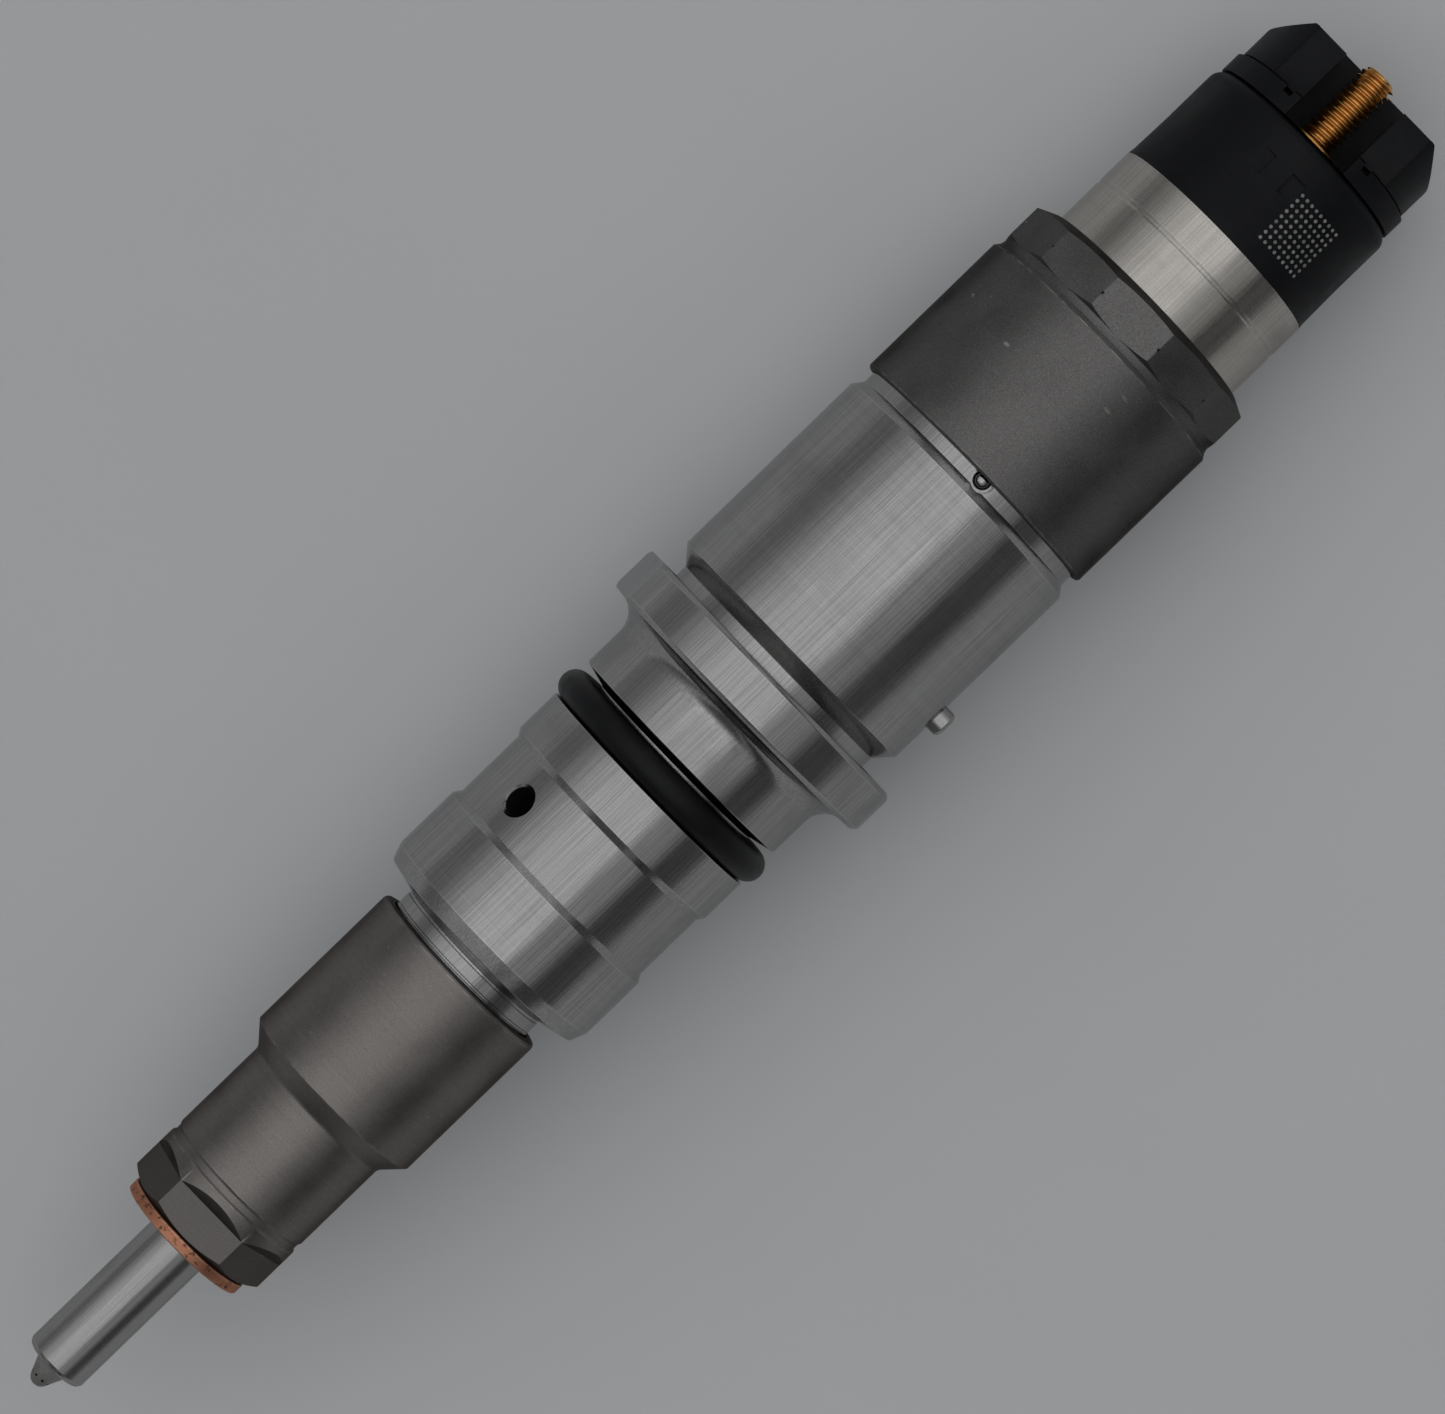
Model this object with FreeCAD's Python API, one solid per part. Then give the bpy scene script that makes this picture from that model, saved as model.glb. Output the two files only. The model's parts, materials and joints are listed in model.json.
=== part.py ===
import FreeCAD, Part
import math
import os

from FreeCAD import Vector

# Common-rail diesel fuel injector, solenoid valve type, for a truck engine.
# X runs along the injector: nozzle at -X, electrical studs at +X. The origin is on the axis, at the
# face of the copper washer that seals on the cylinder head. Z is up as the injector lies on a bench.
# A clock angle is in degrees about X, from +Z towards +Y. Sizes are in millimetres, radii end in _r.

# Fits
running_gap = 0.02  # radial, for what slides in a lapped bore
slip_gap = 0.05  # radial, for what is pushed together by hand
thread_gap = 0.02  # radial, between the plain cylinders that stand for a screw and its thread

# Nozzle and what holds it
shank_d = 7.0
shank_reach = 18.05  # sealing face to the shank's shoulder
shank_chamfer = 0.6
shank_relief = 0.2  # radial, from the sealing face to the collar
tip_reach = 20.8  # sealing face to the very end
tip_base_r = 1.95
tip_ball_r = 1.1
tip_half_angle = 29.0
spray_hole_r = 0.12
spray_holes = 8
spray_angle = 73.0  # between a spray hole and the axis
collar_d = 14.3
collar_length = 18.3
gallery_r = 3.0
gallery_length = 4.0
guide_length = 11.0  # needle guide bore, from the nozzle's top face
shank_bore_r = 1.75
seat_half_angle = 30.0
needle_d = 4.0
needle_shaft_r = 1.25
needle_lift = 0.25
needle_below_top = 0.3  # the needle's top, under the nozzle's top face
washer_od = 15.0
washer_t = 1.2
nozzle_clearance = 0.15
nut_floor = 4.0
nut_length = 37.8
nut_wall = 1.45  # round the nozzle's collar
nut_flat_depth = 1.1  # barrel radius down to a wrench flat, so the wrench size is 15
nut_hex_length = 4.0
nut_groove_gap = 2.0  # end of the hexagon to the shallow groove
nut_foot_chamfer = 0.9
nut_step_start = 17.95  # from the nut's foot
nut_step_length = 2.1
nut_thread_wall = 1.85  # round the thread on the body's nose
nut_mouth_depth = 1.45
nut_mouth_wall = 1.25
nut_groove = 0.15
dowel_r = 0.75
dowel_length = 4.0
dowel_pitch_r = 5.85
dowel_clocks = (20.0, 125.0)

# Body, from the nozzle end up
nose_pilot_length = 2.5
nose_thread_step = 1.65  # radial, nose pilot to thread
neck_step = 0.45  # radial, thread to bare neck
neck_exposed = 2.3
shoulder_r = 12.75
shoulder_length = 0.65
lead_cone_length = 1.7
lower_land_d = 26.7
lower_land_length = 7.15
land_step = 0.8
return_band_d = 25.6
return_band_length = 7.8
upper_land_d = 26.6
upper_land_length = 5.0
ring_groove_d = 21.2
ring_groove_width = 3.8
ring_groove_slope = 0.6
o_ring_cord = 3.5
pilot_land_length = 7.2
flange_d = 35.0
flange_t = 5.1
flange_chamfer = 0.5
flange_root_fillet = 2.7
flange_flat_depth = 1.4
flange_flat_clock = 80.0
relief_depth = 1.6  # radial, below the barrel
relief_width = 1.4
relief_face_depth = 0.2  # into the flange's face, so that a clamp bears outside the barrel only
relief_face_gap = 0.1  # radial, from the barrel to the edge of that recess
relief_slope = 1.6
barrel_step = 0.8  # radial, top neck to barrel
barrel_length = 23.1
barrel_chamfer = 0.15
top_neck_rise = 0.65  # radial, thread to top neck
top_neck_step = 0.4
top_neck_length = 2.9
top_thread_over_collar = 0.3  # radial, above the solenoid's collar
top_thread_length = 7.7

# Ports and drillings in the body
inlet_clock = -107.5
inlet_before_step = 1.95  # inlet's centre, before the lower land's end
inlet_mouth_r = 4.75
inlet_half_angle = 30.0
inlet_drill_r = 1.5
inlet_drill_end_r = 6.9
pressure_drill_r = 0.8
pressure_drill_mid_r = 7.2
pressure_drill_low_r = 5.6
pressure_drill_high_r = 5.2
return_clock = 38.8
return_port_r = 1.65
return_port_chamfer = 0.2
leak_drill_r = 0.9
plug_clock = -4.8
plug_ball_r = 1.0
plug_mouth_r = 1.3
plug_mouth_depth = 1.25
plug_lip = 0.3  # the plug hole's centre, before the solenoid nut's edge
pin_clock = -95.0
pin_d = 2.9
pin_after_relief = 5.9  # locating pin's centre, past the start of the barrel
pin_out = 1.5
pin_deep = 3.5
pin_chamfer = 0.35

# Spring chamber and control piston
spring_chamber_r = 4.6
spring_chamber_length = 20.5
shim_t = 1.2
nozzle_spring_wire = 1.2
nozzle_spring_turns = 9
seat_flange_r = 4.2
seat_flange_t = 1.5
seat_stub_r = 1.8
seat_lift_gap = 0.4  # pressure pin's flange, above the nozzle's top face
piston_rod_r = 2.0
piston_guide_r = 2.15
piston_guide_length = 9.5
rod_bore_r = 2.4

# Valve piece, ball and armature
valve_chamber_depth = 21.0  # body's top face down to the valve piece's shoulder
valve_flange_step = 1.6  # radial, clamp screw's seat round the valve piece's flange
valve_flange_t = 3.0
valve_shank_r = 4.4
valve_shank_length = 13.8
valve_bore_length = 10.1
pressure_ring_r = 5.45  # high-pressure ring chamber round the valve piece
pressure_ring_length = 8.0
seal_ring_t = 1.6
throttle_r = 0.13
throttle_length = 1.2
outlet_drill_r = 0.35
ball_r = 0.67
ball_seat_mouth_r = 0.6
ball_seat_half_angle = 55.0
holder_r = 1.5
holder_height = 1.1
guide_flange_t = 1.8
guide_neck_r = 2.6
guide_tip_r = 1.9
guide_hole_r = 0.8
guide_hole_pitch_r = 4.3
clamp_screw_step = 0.8  # radial, below the armature chamber's wall
clamp_screw_length = 5.0
clamp_screw_wall = 3.5  # from an inside flat to the thread
clamp_groove_r = 1.0
armature_pin_r = 1.3
armature_groove_r = 0.95
armature_plate_inset = 0.8  # radial, inside the magnet's rim
armature_plate_t = 2.2
armature_slot_width = 1.4
armature_stroke = 0.05
armature_residual_gap = 0.05
armature_overtravel = 0.04
armature_chamber_over_core = 0.4
armature_spring_length = 3.7
armature_spring_wire = 0.45
armature_spring_turns = 5
stop_washer_r = 2.6
stop_washer_t = 0.6
stop_washer_slot = 1.9
pin_head_length = 0.5
stroke_shim_t = 0.6
stroke_shim_inset = 0.2  # radial, inside the magnet's rim

# Solenoid
spigot_length = 4.5
spigot_wall = 1.4
housing_collar_step = 0.95
housing_collar_t = 2.5
housing_r = 12.25
housing_exposed = 9.55  # bare steel between the solenoid nut and the connector cap
housing_mark = 5.5  # score line, past the solenoid nut
housing_mark_width = 0.7
housing_mark_depth = 0.12
housing_neck_step = 0.95
housing_neck_length = 3.3
housing_neck_wall = 0.7
housing_wall = 2.8  # round the magnet
core_length = 12.0
core_bore_r = 3.0
coil_slot_in_r = 5.4
core_rim = 1.4  # the magnet's outer pole
coil_slot_depth = 9.1
bobbin_wall = 0.4
bobbin_recess = 0.3
valve_spring_wire = 0.9
valve_spring_turns = 8
valve_shim_t = 0.5
plug_t = 4.0
coil_pin_r = 0.5
coil_pin_hole_r = 0.8
solenoid_ring_cord = 0.94
solenoid_ring_groove = 1.5
solenoid_nut_wall = 1.5  # over the thread
solenoid_nut_gap = 1.85  # bare body neck between the barrel and the nut
solenoid_nut_sides = 12
solenoid_nut_flat_depth = 0.5  # so the wrench size is 29
solenoid_nut_band = 5.7  # wrench band, including its relief
solenoid_nut_relief = 0.55
solenoid_nut_length = 23.85
solenoid_nut_chamfer = 1.1
solenoid_nut_chamfer_angle = 62.0

# Connector cap and studs
cap_inset = 0.2  # radial, below the housing
cap_length = 12.5
cap_foot_flare = 0.2
cap_shoulder = 1.4
cap_disc_inset = 0.4
cap_disc_t = 2.2
tower_inset = 0.8
tower_height = 6.7
tower_foot_groove = 0.3
tower_chamfer = 2.9
tower_face_depth = 3.55  # tower radius down to the flat wall panels
tower_panel_half_width = 7.9
tower_notch = 0.9
tower_notch_inset = 0.9
bay_width = 8.15
divider_t = 3.0
divider_proud = 0.8
stud_d = 4.0
stud_offset = 5.6  # injector axis to a stud
stud_proud = 1.1  # past the towers
stud_chamfer = 0.4
stud_anchor_r = 3.0
stud_anchor_t = 3.5
stud_anchor_deep = 5.7
stud_waist_r = 1.7  # below the thread, through the moulding and the contact washer
stud_waist_proud = 0.1  # past the contact washer
contact_washer_r = 3.1
contact_washer_t = 0.6
contact_washer_gap = 0.05  # radial, over the thread

# Radii that follow from the sizes above
collar_r = collar_d / 2
nose_r = collar_r - slip_gap
nose_thread_r = nose_r + nose_thread_step
neck_r = nose_thread_r + neck_step
nut_barrel_r = collar_r + nut_wall
nut_hex_af = 2 * (nut_barrel_r - nut_flat_depth)
nut_upper_r = nose_thread_r + nut_thread_wall
nut_mouth_r = nut_upper_r - nut_mouth_wall
core_r = housing_r - housing_wall - slip_gap
coil_slot_out_r = core_r - core_rim
coil_pin_offset = (coil_slot_in_r + coil_slot_out_r) / 2
spigot_r = core_r + slip_gap + spigot_wall
housing_collar_r = housing_r + housing_collar_step
housing_neck_r = housing_r - housing_neck_step
housing_upper_bore_r = housing_neck_r - housing_neck_wall
top_thread_r = housing_collar_r + top_thread_over_collar
top_neck_r = top_thread_r + top_neck_rise
barrel_r = top_neck_r + barrel_step
solenoid_nut_r = top_thread_r + solenoid_nut_wall
solenoid_nut_af = 2 * (solenoid_nut_r - solenoid_nut_flat_depth)
armature_chamber_r = core_r + armature_chamber_over_core
armature_plate_r = core_r - armature_plate_inset
stroke_shim_r = core_r - stroke_shim_inset
clamp_screw_r = armature_chamber_r - clamp_screw_step
clamp_screw_af = 2 * (clamp_screw_r - clamp_screw_wall)
valve_flange_r = clamp_screw_r - valve_flange_step
leak_drill_pitch_r = armature_chamber_r - leak_drill_r
cap_r = housing_r - cap_inset
cap_disc_r = cap_r - cap_disc_inset
tower_r = cap_r - tower_inset
tower_face = tower_r - tower_face_depth

# Places along X, worked out from the sizes above
collar_foot = washer_t + nut_floor
nozzle_top = collar_foot + collar_length
nut_end = washer_t + nut_length
neck_start = nut_end - nut_mouth_depth
neck_end = nut_end + neck_exposed
lower_land_start = neck_end + shoulder_length + lead_cone_length
lower_land_end = lower_land_start + lower_land_length
return_band_start = lower_land_end + land_step
return_band_end = return_band_start + return_band_length
upper_land_start = return_band_end + land_step
ring_groove_start = upper_land_start + upper_land_length
ring_groove_end = ring_groove_start + ring_groove_width
pilot_land_start = ring_groove_end + ring_groove_slope
flange_start = pilot_land_start + pilot_land_length
flange_end = flange_start + flange_t
barrel_start = flange_end + relief_width + relief_slope
barrel_end = barrel_start + barrel_length
top_neck_start = barrel_end + top_neck_step
top_thread_start = top_neck_start + top_neck_length
body_top = top_thread_start + top_thread_length
inlet_x = lower_land_end - inlet_before_step
return_x = (return_band_start + return_band_end) / 2
solenoid_nut_start = top_neck_start + solenoid_nut_gap
solenoid_nut_end = solenoid_nut_start + solenoid_nut_length
plug_x = solenoid_nut_start - plug_lip
pin_x = barrel_start + pin_after_relief

needle_top = nozzle_top - needle_below_top
seat_flange_start = nozzle_top + seat_lift_gap
seat_flange_end = seat_flange_start + seat_flange_t
spring_chamber_end = nozzle_top + spring_chamber_length
nozzle_shim_start = spring_chamber_end - shim_t

valve_shoulder = body_top - valve_chamber_depth
valve_top = valve_shoulder + valve_flange_t
valve_foot = valve_shoulder - valve_shank_length
valve_bore_end = valve_foot + valve_bore_length
piston_top = valve_bore_end - needle_lift - 0.1
pressure_ring_start = valve_shoulder - pressure_ring_length
ball_centre = valve_top - ball_seat_mouth_r / math.tan(math.radians(ball_seat_half_angle))
ball_centre += ball_r / math.sin(math.radians(ball_seat_half_angle))
holder_start = ball_centre + 0.05
holder_end = holder_start + holder_height
guide_flange_end = valve_top + guide_flange_t
clamp_screw_end = guide_flange_end + clamp_screw_length
core_face = body_top - spigot_length
plate_top = core_face - armature_residual_gap - armature_stroke
plate_foot = plate_top - armature_plate_t
guide_top = plate_foot - armature_overtravel
guide_neck_end = plate_foot - armature_spring_length
stop_washer_end = plate_top + stop_washer_t
shim_seat = core_face - stroke_shim_t
core_end = core_face + core_length
plug_end = core_end + plug_t
coil_slot_end = core_face + coil_slot_depth
collar_end = body_top + housing_collar_t
cap_start = solenoid_nut_end + housing_exposed
cap_top = cap_start + cap_length
disc_top = cap_top + cap_disc_t
tower_top = disc_top + tower_height
stud_end = tower_top + stud_proud
stud_anchor_start = cap_top - stud_anchor_deep


def outline(*steps):
    """A closed face in the X-R plane. A step is a point, or a pair: a point on an arc, and its end."""
    edges = []
    here = None
    for step in steps + (steps[0],):
        arc = isinstance(step[0], tuple)
        there = step[1] if arc else step
        if here is not None and there != here:
            start, end = Vector(here[0], 0, here[1]), Vector(there[0], 0, there[1])
            if arc:
                edges.append(Part.Arc(start, Vector(step[0][0], 0, step[0][1]), end).toShape())
            else:
                edges.append(Part.LineSegment(start, end).toShape())
        here = there
    return Part.Face(Part.Wire(edges))


def turned(*steps):
    """A solid of revolution about the injector's axis."""
    return outline(*steps).revolve(Vector(0, 0, 0), Vector(1, 0, 0), 360)


def ring(start, end, outer_r, inner_r=0.0):
    """A plain turned ring, or a disc."""
    return turned((start, inner_r), (start, outer_r), (end, outer_r), (end, inner_r))


def at(x, radius, clock):
    """The point at a clock angle and a distance from the axis."""
    turn = math.radians(clock)
    return Vector(x, radius * math.sin(turn), radius * math.cos(turn))


def rod(start, end, radius, end_radius=None):
    """A round bar, or a cone, from one point to another."""
    way = end - start
    if end_radius is None:
        return Part.makeCylinder(radius, way.Length, start, way)
    return Part.makeCone(radius, end_radius, way.Length, start, way)


def block(x_range, y_range, z_range):
    """A box between two values on each axis."""
    low = Vector(x_range[0], y_range[0], z_range[0])
    high = Vector(x_range[1], y_range[1], z_range[1])
    size = high - low
    return Part.makeBox(size.x, size.y, size.z, low)


def prism(start, end, across_flats, sides, clock=0.0):
    """A prism along the axis, with the middle of a flat at the clock angle."""
    corner_r = across_flats / 2 / math.cos(math.pi / sides)
    step = 360 / sides
    corners = [at(start, corner_r, clock + step / 2 + step * n) for n in range(sides)]
    return Part.Face(Part.makePolygon(corners + corners[:1])).extrude(Vector(end - start, 0, 0))


def coil_spring(start, end, mean_r, wire_d, turns):
    """A compression spring with ground ends, between two flat seats."""
    grind = wire_d * 0.2
    height = end - start - 2 * grind
    helix = Part.makeHelix(height / turns, height, mean_r)
    section = Part.Circle(Vector(mean_r, 0, 0), Vector(0, 1, 0), wire_d / 2).toShape()
    coil = Part.Wire(helix.Edges).makePipeShell([Part.Wire(section)], True, True)
    coil.rotate(Vector(0, 0, 0), Vector(0, 1, 0), 90)
    coil.translate(Vector(start + grind, 0, 0))
    return coil.common(ring(start, end, mean_r + wire_d))


def rim(shape, x, radius):
    """The circular edges of that radius at that place on the axis."""
    found = []
    for edge in shape.Edges:
        if isinstance(edge.Curve, Part.Circle) and abs(edge.Curve.Radius - radius) < 1e-4:
            if abs(edge.Curve.Center.x - x) < 1e-4:
                found.append(edge)
    return found


def across(angle_deg, length):
    """The rise of a cone of that half angle over that length."""
    return length * math.tan(math.radians(angle_deg))


# ---- nozzle end ----


def nozzle_body():
    """Nozzle with a slim shank, a blind conical tip with spray holes, and a collar inside the nut."""
    shank_r = shank_d / 2
    shoulder = -shank_reach
    ball_x = tip_ball_r - tip_reach
    half = math.radians(tip_half_angle)
    cone_end = (ball_x - tip_ball_r * math.sin(half), tip_ball_r * math.cos(half))
    middle = math.radians(45 + tip_half_angle / 2)
    arc_mid = (ball_x - tip_ball_r * math.sin(middle), tip_ball_r * math.cos(middle))
    body = turned(
        (-tip_reach, 0),
        (arc_mid, cone_end),
        (shoulder, tip_base_r),
        (shoulder, shank_r - shank_chamfer),
        (shoulder + shank_chamfer, shank_r),
        (0, shank_r),
        (0, shank_r - shank_relief),
        (collar_foot, shank_r - shank_relief),
        (collar_foot, collar_r),
        (nozzle_top, collar_r),
        (nozzle_top, 0),
    )
    guide_r = needle_d / 2 + running_gap
    gallery_end = nozzle_top - guide_length
    gallery_start = gallery_end - gallery_length
    sac_end = ball_x
    sac_r = 0.5
    seat_start = sac_end + 0.4
    seat_end = seat_start + (shank_bore_r - sac_r) / math.tan(math.radians(seat_half_angle))
    body = body.cut(
        turned(
            (sac_end, 0),
            (sac_end, sac_r),
            (seat_start, sac_r),
            (seat_end, shank_bore_r),
            (gallery_start, shank_bore_r),
            (gallery_start + gallery_r - shank_bore_r, gallery_r),
            (gallery_end, gallery_r),
            (gallery_end + gallery_r - guide_r, guide_r),
            (nozzle_top, guide_r),
            (nozzle_top, 0),
        )
    )
    feed = rod(
        at(nozzle_top, pressure_drill_low_r, inlet_clock),
        at(gallery_end - 1.5, gallery_r - 0.4, inlet_clock),
        pressure_drill_r,
    )
    cuts = [feed] + dowel_holes()
    spray = math.radians(spray_angle)
    sac_mid = Vector(sac_end + 0.2, 0, 0)
    for n in range(spray_holes):
        clock = 360 / spray_holes * (n + 0.5)
        out = at(-math.cos(spray) * 3, math.sin(spray) * 3, clock)
        cuts.append(rod(sac_mid, sac_mid + out, spray_hole_r))
    return body.cut(cuts)


def dowel_holes():
    reach = dowel_length / 2 + 0.2
    return [
        rod(
            at(nozzle_top - reach, dowel_pitch_r, clock),
            at(nozzle_top + reach, dowel_pitch_r, clock),
            dowel_r + running_gap,
        )
        for clock in dowel_clocks
    ]


def nozzle_dowel_pins():
    """Two pins that keep the nozzle's feed hole in line with the body's."""
    pins = [
        rod(
            at(nozzle_top - dowel_length / 2, dowel_pitch_r, clock),
            at(nozzle_top + dowel_length / 2, dowel_pitch_r, clock),
            dowel_r,
        )
        for clock in dowel_clocks
    ]
    return Part.makeCompound(pins)


def nozzle_needle():
    """Needle: cone that closes on the nozzle's seat, slim shaft, and lapped guide."""
    guide_r = needle_d / 2
    sac_end = tip_ball_r - tip_reach
    seat_start = sac_end + 0.4
    rise = math.tan(math.radians(seat_half_angle))
    tip_r = 0.5
    shaft_x = seat_start + (needle_shaft_r - tip_r) / rise
    guide_start = nozzle_top - guide_length - 0.5
    return turned(
        (seat_start, 0),
        (seat_start, tip_r),
        (shaft_x, needle_shaft_r),
        (guide_start - 0.75, needle_shaft_r),
        (guide_start, guide_r),
        (needle_top, guide_r),
        (needle_top, 0),
    )


def sealing_washer():
    """Soft copper washer that seals the nut on the cylinder head."""
    return ring(0, washer_t, washer_od / 2, shank_d / 2 + nozzle_clearance)


def nozzle_nut():
    """Stepped cap nut with a hexagon at its foot. It pulls the nozzle against the body."""
    upper_r = nut_upper_r
    corner_r = nut_hex_af / 2 / math.cos(math.pi / 6)
    foot = washer_t
    step = foot + nut_step_start
    hexagon_end = foot + nut_hex_length
    groove = hexagon_end + nut_groove_gap
    nut = turned(
        (foot, 0),
        (foot, corner_r - nut_foot_chamfer * 1.8),
        (foot + nut_foot_chamfer, corner_r),
        (groove, corner_r),
        (groove + 0.25, nut_barrel_r - nut_groove),
        (groove + 0.9, nut_barrel_r - nut_groove),
        (groove + 1.15, nut_barrel_r),
        (step, nut_barrel_r),
        (step + nut_step_length, upper_r),
        (nut_end - 0.45, upper_r),
        (nut_end, upper_r - 0.45),
        (nut_end, 0),
    )
    nut = nut.makeFillet(1.0, rim(nut, step, nut_barrel_r))
    # each flat runs out up to the barrel at 45 degrees, as the cutter leaves it
    flat = nut_hex_af / 2
    depth = corner_r - flat + 0.5
    for n in range(6):
        cutter = outline(
            (foot - 1, flat),
            (hexagon_end, flat),
            (hexagon_end + depth, flat + depth),
            (foot - 1, flat + depth),
        )
        cutter.translate(Vector(0, -corner_r, 0))
        cutter = cutter.extrude(Vector(0, 2 * corner_r, 0))
        cutter.rotate(Vector(0, 0, 0), Vector(1, 0, 0), 60 * n)
        nut = nut.cut(cutter)
    thread_r = nose_thread_r + thread_gap
    pilot_end = nozzle_top + nose_pilot_length
    return nut.cut(
        turned(
            (foot, 0),
            (foot, shank_d / 2 + nozzle_clearance),
            (collar_foot, shank_d / 2 + nozzle_clearance),
            (collar_foot, collar_r + slip_gap),
            (pilot_end, collar_r + slip_gap),
            (pilot_end, thread_r),
            (neck_start, thread_r),
            (neck_start, nut_mouth_r),
            (nut_end, nut_mouth_r),
            (nut_end, 0),
        )
    )


def pressure_pin():
    """Flanged pin between the needle and the control piston. The nozzle spring sits on its flange."""
    return turned(
        (needle_top, 0),
        (needle_top, seat_stub_r),
        (seat_flange_start, seat_stub_r),
        (seat_flange_start, seat_flange_r),
        (seat_flange_end, seat_flange_r),
        (seat_flange_end, 0),
    )


def nozzle_spring():
    mean_r = spring_chamber_r - nozzle_spring_wire
    return coil_spring(
        seat_flange_end, nozzle_shim_start, mean_r, nozzle_spring_wire, nozzle_spring_turns
    )


def nozzle_spring_shim():
    """Ground ring that sets the opening pressure."""
    return ring(
        nozzle_shim_start,
        spring_chamber_end,
        spring_chamber_r - slip_gap,
        piston_rod_r + nozzle_clearance,
    )


def control_piston():
    """Long rod from the pressure pin to the control chamber, lapped at its upper end."""
    guide_start = piston_top - piston_guide_length
    return turned(
        (seat_flange_end, 0),
        (seat_flange_end, piston_rod_r),
        (guide_start - 0.3, piston_rod_r),
        (guide_start, piston_guide_r),
        (piston_top, piston_guide_r),
        (piston_top, 0),
    )


# ---- body ----


def body_outside():
    """The turned outside of the body, with its lands, seal groove, clamp flange and thread."""
    land_r, band_r, upper_r = lower_land_d / 2, return_band_d / 2, upper_land_d / 2
    flange_r = flange_d / 2
    groove_r, relief_r = ring_groove_d / 2, barrel_r - relief_depth
    edge = barrel_chamfer
    body = turned(
        (nozzle_top, 0),
        (nozzle_top, nose_r),
        (nozzle_top + nose_pilot_length, nose_r),
        (nozzle_top + nose_pilot_length, nose_thread_r),
        (neck_start, nose_thread_r),
        (neck_start, neck_r),
        (neck_end, neck_r),
        (neck_end + shoulder_length, shoulder_r),
        (lower_land_start, land_r),
        (lower_land_end, land_r),
        (return_band_start, band_r),
        (return_band_end, band_r),
        (upper_land_start, upper_r),
        (ring_groove_start - edge, upper_r),
        (ring_groove_start, upper_r - edge),
        (ring_groove_start, groove_r),
        (ring_groove_end, groove_r),
        (pilot_land_start, upper_r - edge),
        (pilot_land_start + edge, upper_r),
        (flange_start, upper_r),
        (flange_start, flange_r - flange_chamfer),
        (flange_start + flange_chamfer, flange_r),
        (flange_end - flange_chamfer, flange_r),
        (flange_end, flange_r - flange_chamfer),
        (flange_end, barrel_r + relief_face_gap),
        (flange_end - relief_face_depth, barrel_r + relief_face_gap),
        (flange_end - relief_face_depth, relief_r),
        (flange_end + relief_width, relief_r),
        (barrel_start, barrel_r - edge),
        (barrel_start + edge, barrel_r),
        (barrel_end - edge, barrel_r),
        (barrel_end, barrel_r - edge),
        (top_neck_start, top_neck_r),
        (top_thread_start, top_neck_r),
        (top_thread_start, top_thread_r),
        (body_top, top_thread_r),
        (body_top, 0),
    )
    body = body.makeFillet(flange_root_fillet, rim(body, flange_start, upper_r))
    flat_at = flange_r - flange_flat_depth
    flat = block((flange_start - 1, flange_end + 1), (-flange_d, flange_d), (flat_at, flange_d))
    flat.rotate(Vector(0, 0, 0), Vector(1, 0, 0), -flange_flat_clock)
    return body.cut(flat)


def body_bore():
    """What is bored from both ends: spring chamber, piston bore, valve seat and armature chamber."""
    screw_bore_r = clamp_screw_r + thread_gap
    screw_bore_start = guide_flange_end - 0.2
    screw_bore_end = clamp_screw_end + 0.8
    return turned(
        (nozzle_top, 0),
        (nozzle_top, spring_chamber_r),
        (spring_chamber_end, spring_chamber_r),
        (spring_chamber_end, rod_bore_r),
        (valve_foot - 0.2, rod_bore_r),
        (valve_foot - 0.2, valve_shank_r + slip_gap),
        (pressure_ring_start, valve_shank_r + slip_gap),
        (pressure_ring_start, pressure_ring_r),
        (valve_shoulder, pressure_ring_r),
        (valve_shoulder, valve_flange_r + slip_gap),
        (screw_bore_start, valve_flange_r + slip_gap),
        (screw_bore_start, screw_bore_r),
        (screw_bore_end, screw_bore_r),
        (screw_bore_end, armature_chamber_r),
        (shim_seat, armature_chamber_r),
        (shim_seat, spigot_r + slip_gap),
        (body_top, spigot_r + slip_gap),
        (body_top, 0),
    )


def inlet_port():
    """Conical seat for the high-pressure pipe's lance, with the drillings that it feeds."""
    mouth = lower_land_d / 2
    past = 1.0
    depth = (inlet_mouth_r - inlet_drill_r) / math.tan(math.radians(inlet_half_angle))
    wide = inlet_mouth_r + across(inlet_half_angle, past)
    cone = rod(
        at(inlet_x, mouth + past, inlet_clock),
        at(inlet_x, mouth - depth, inlet_clock),
        wide,
        inlet_drill_r,
    )
    cross = rod(
        at(inlet_x, mouth - depth + 0.5, inlet_clock),
        at(inlet_x, inlet_drill_end_r, inlet_clock),
        inlet_drill_r,
    )
    middle = at(inlet_x, pressure_drill_mid_r, inlet_clock)
    down = rod(
        middle, at(nozzle_top, pressure_drill_low_r, inlet_clock), pressure_drill_r
    )
    up = rod(
        middle,
        at(pressure_ring_start + 3, pressure_drill_high_r, inlet_clock),
        pressure_drill_r,
    )
    return [cone, cross, down, up]


def return_port():
    """Radial outlet for leaked fuel, and the long drilling that feeds it from the valve chamber."""
    surface = return_band_d / 2
    flare = return_port_chamfer
    hole = rod(
        at(return_x, surface + 1, return_clock), at(return_x, 1.0, return_clock), return_port_r
    )
    mouth = rod(
        at(return_x, surface - 2 * flare, return_clock),
        at(return_x, surface + flare, return_clock),
        return_port_r,
        return_port_r + 1.5 * flare,
    )
    leak = rod(
        at(return_x, leak_drill_pitch_r, return_clock),
        at(guide_flange_end - 0.1, leak_drill_pitch_r, return_clock),
        leak_drill_r,
    )
    return [hole, mouth, leak]


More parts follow.
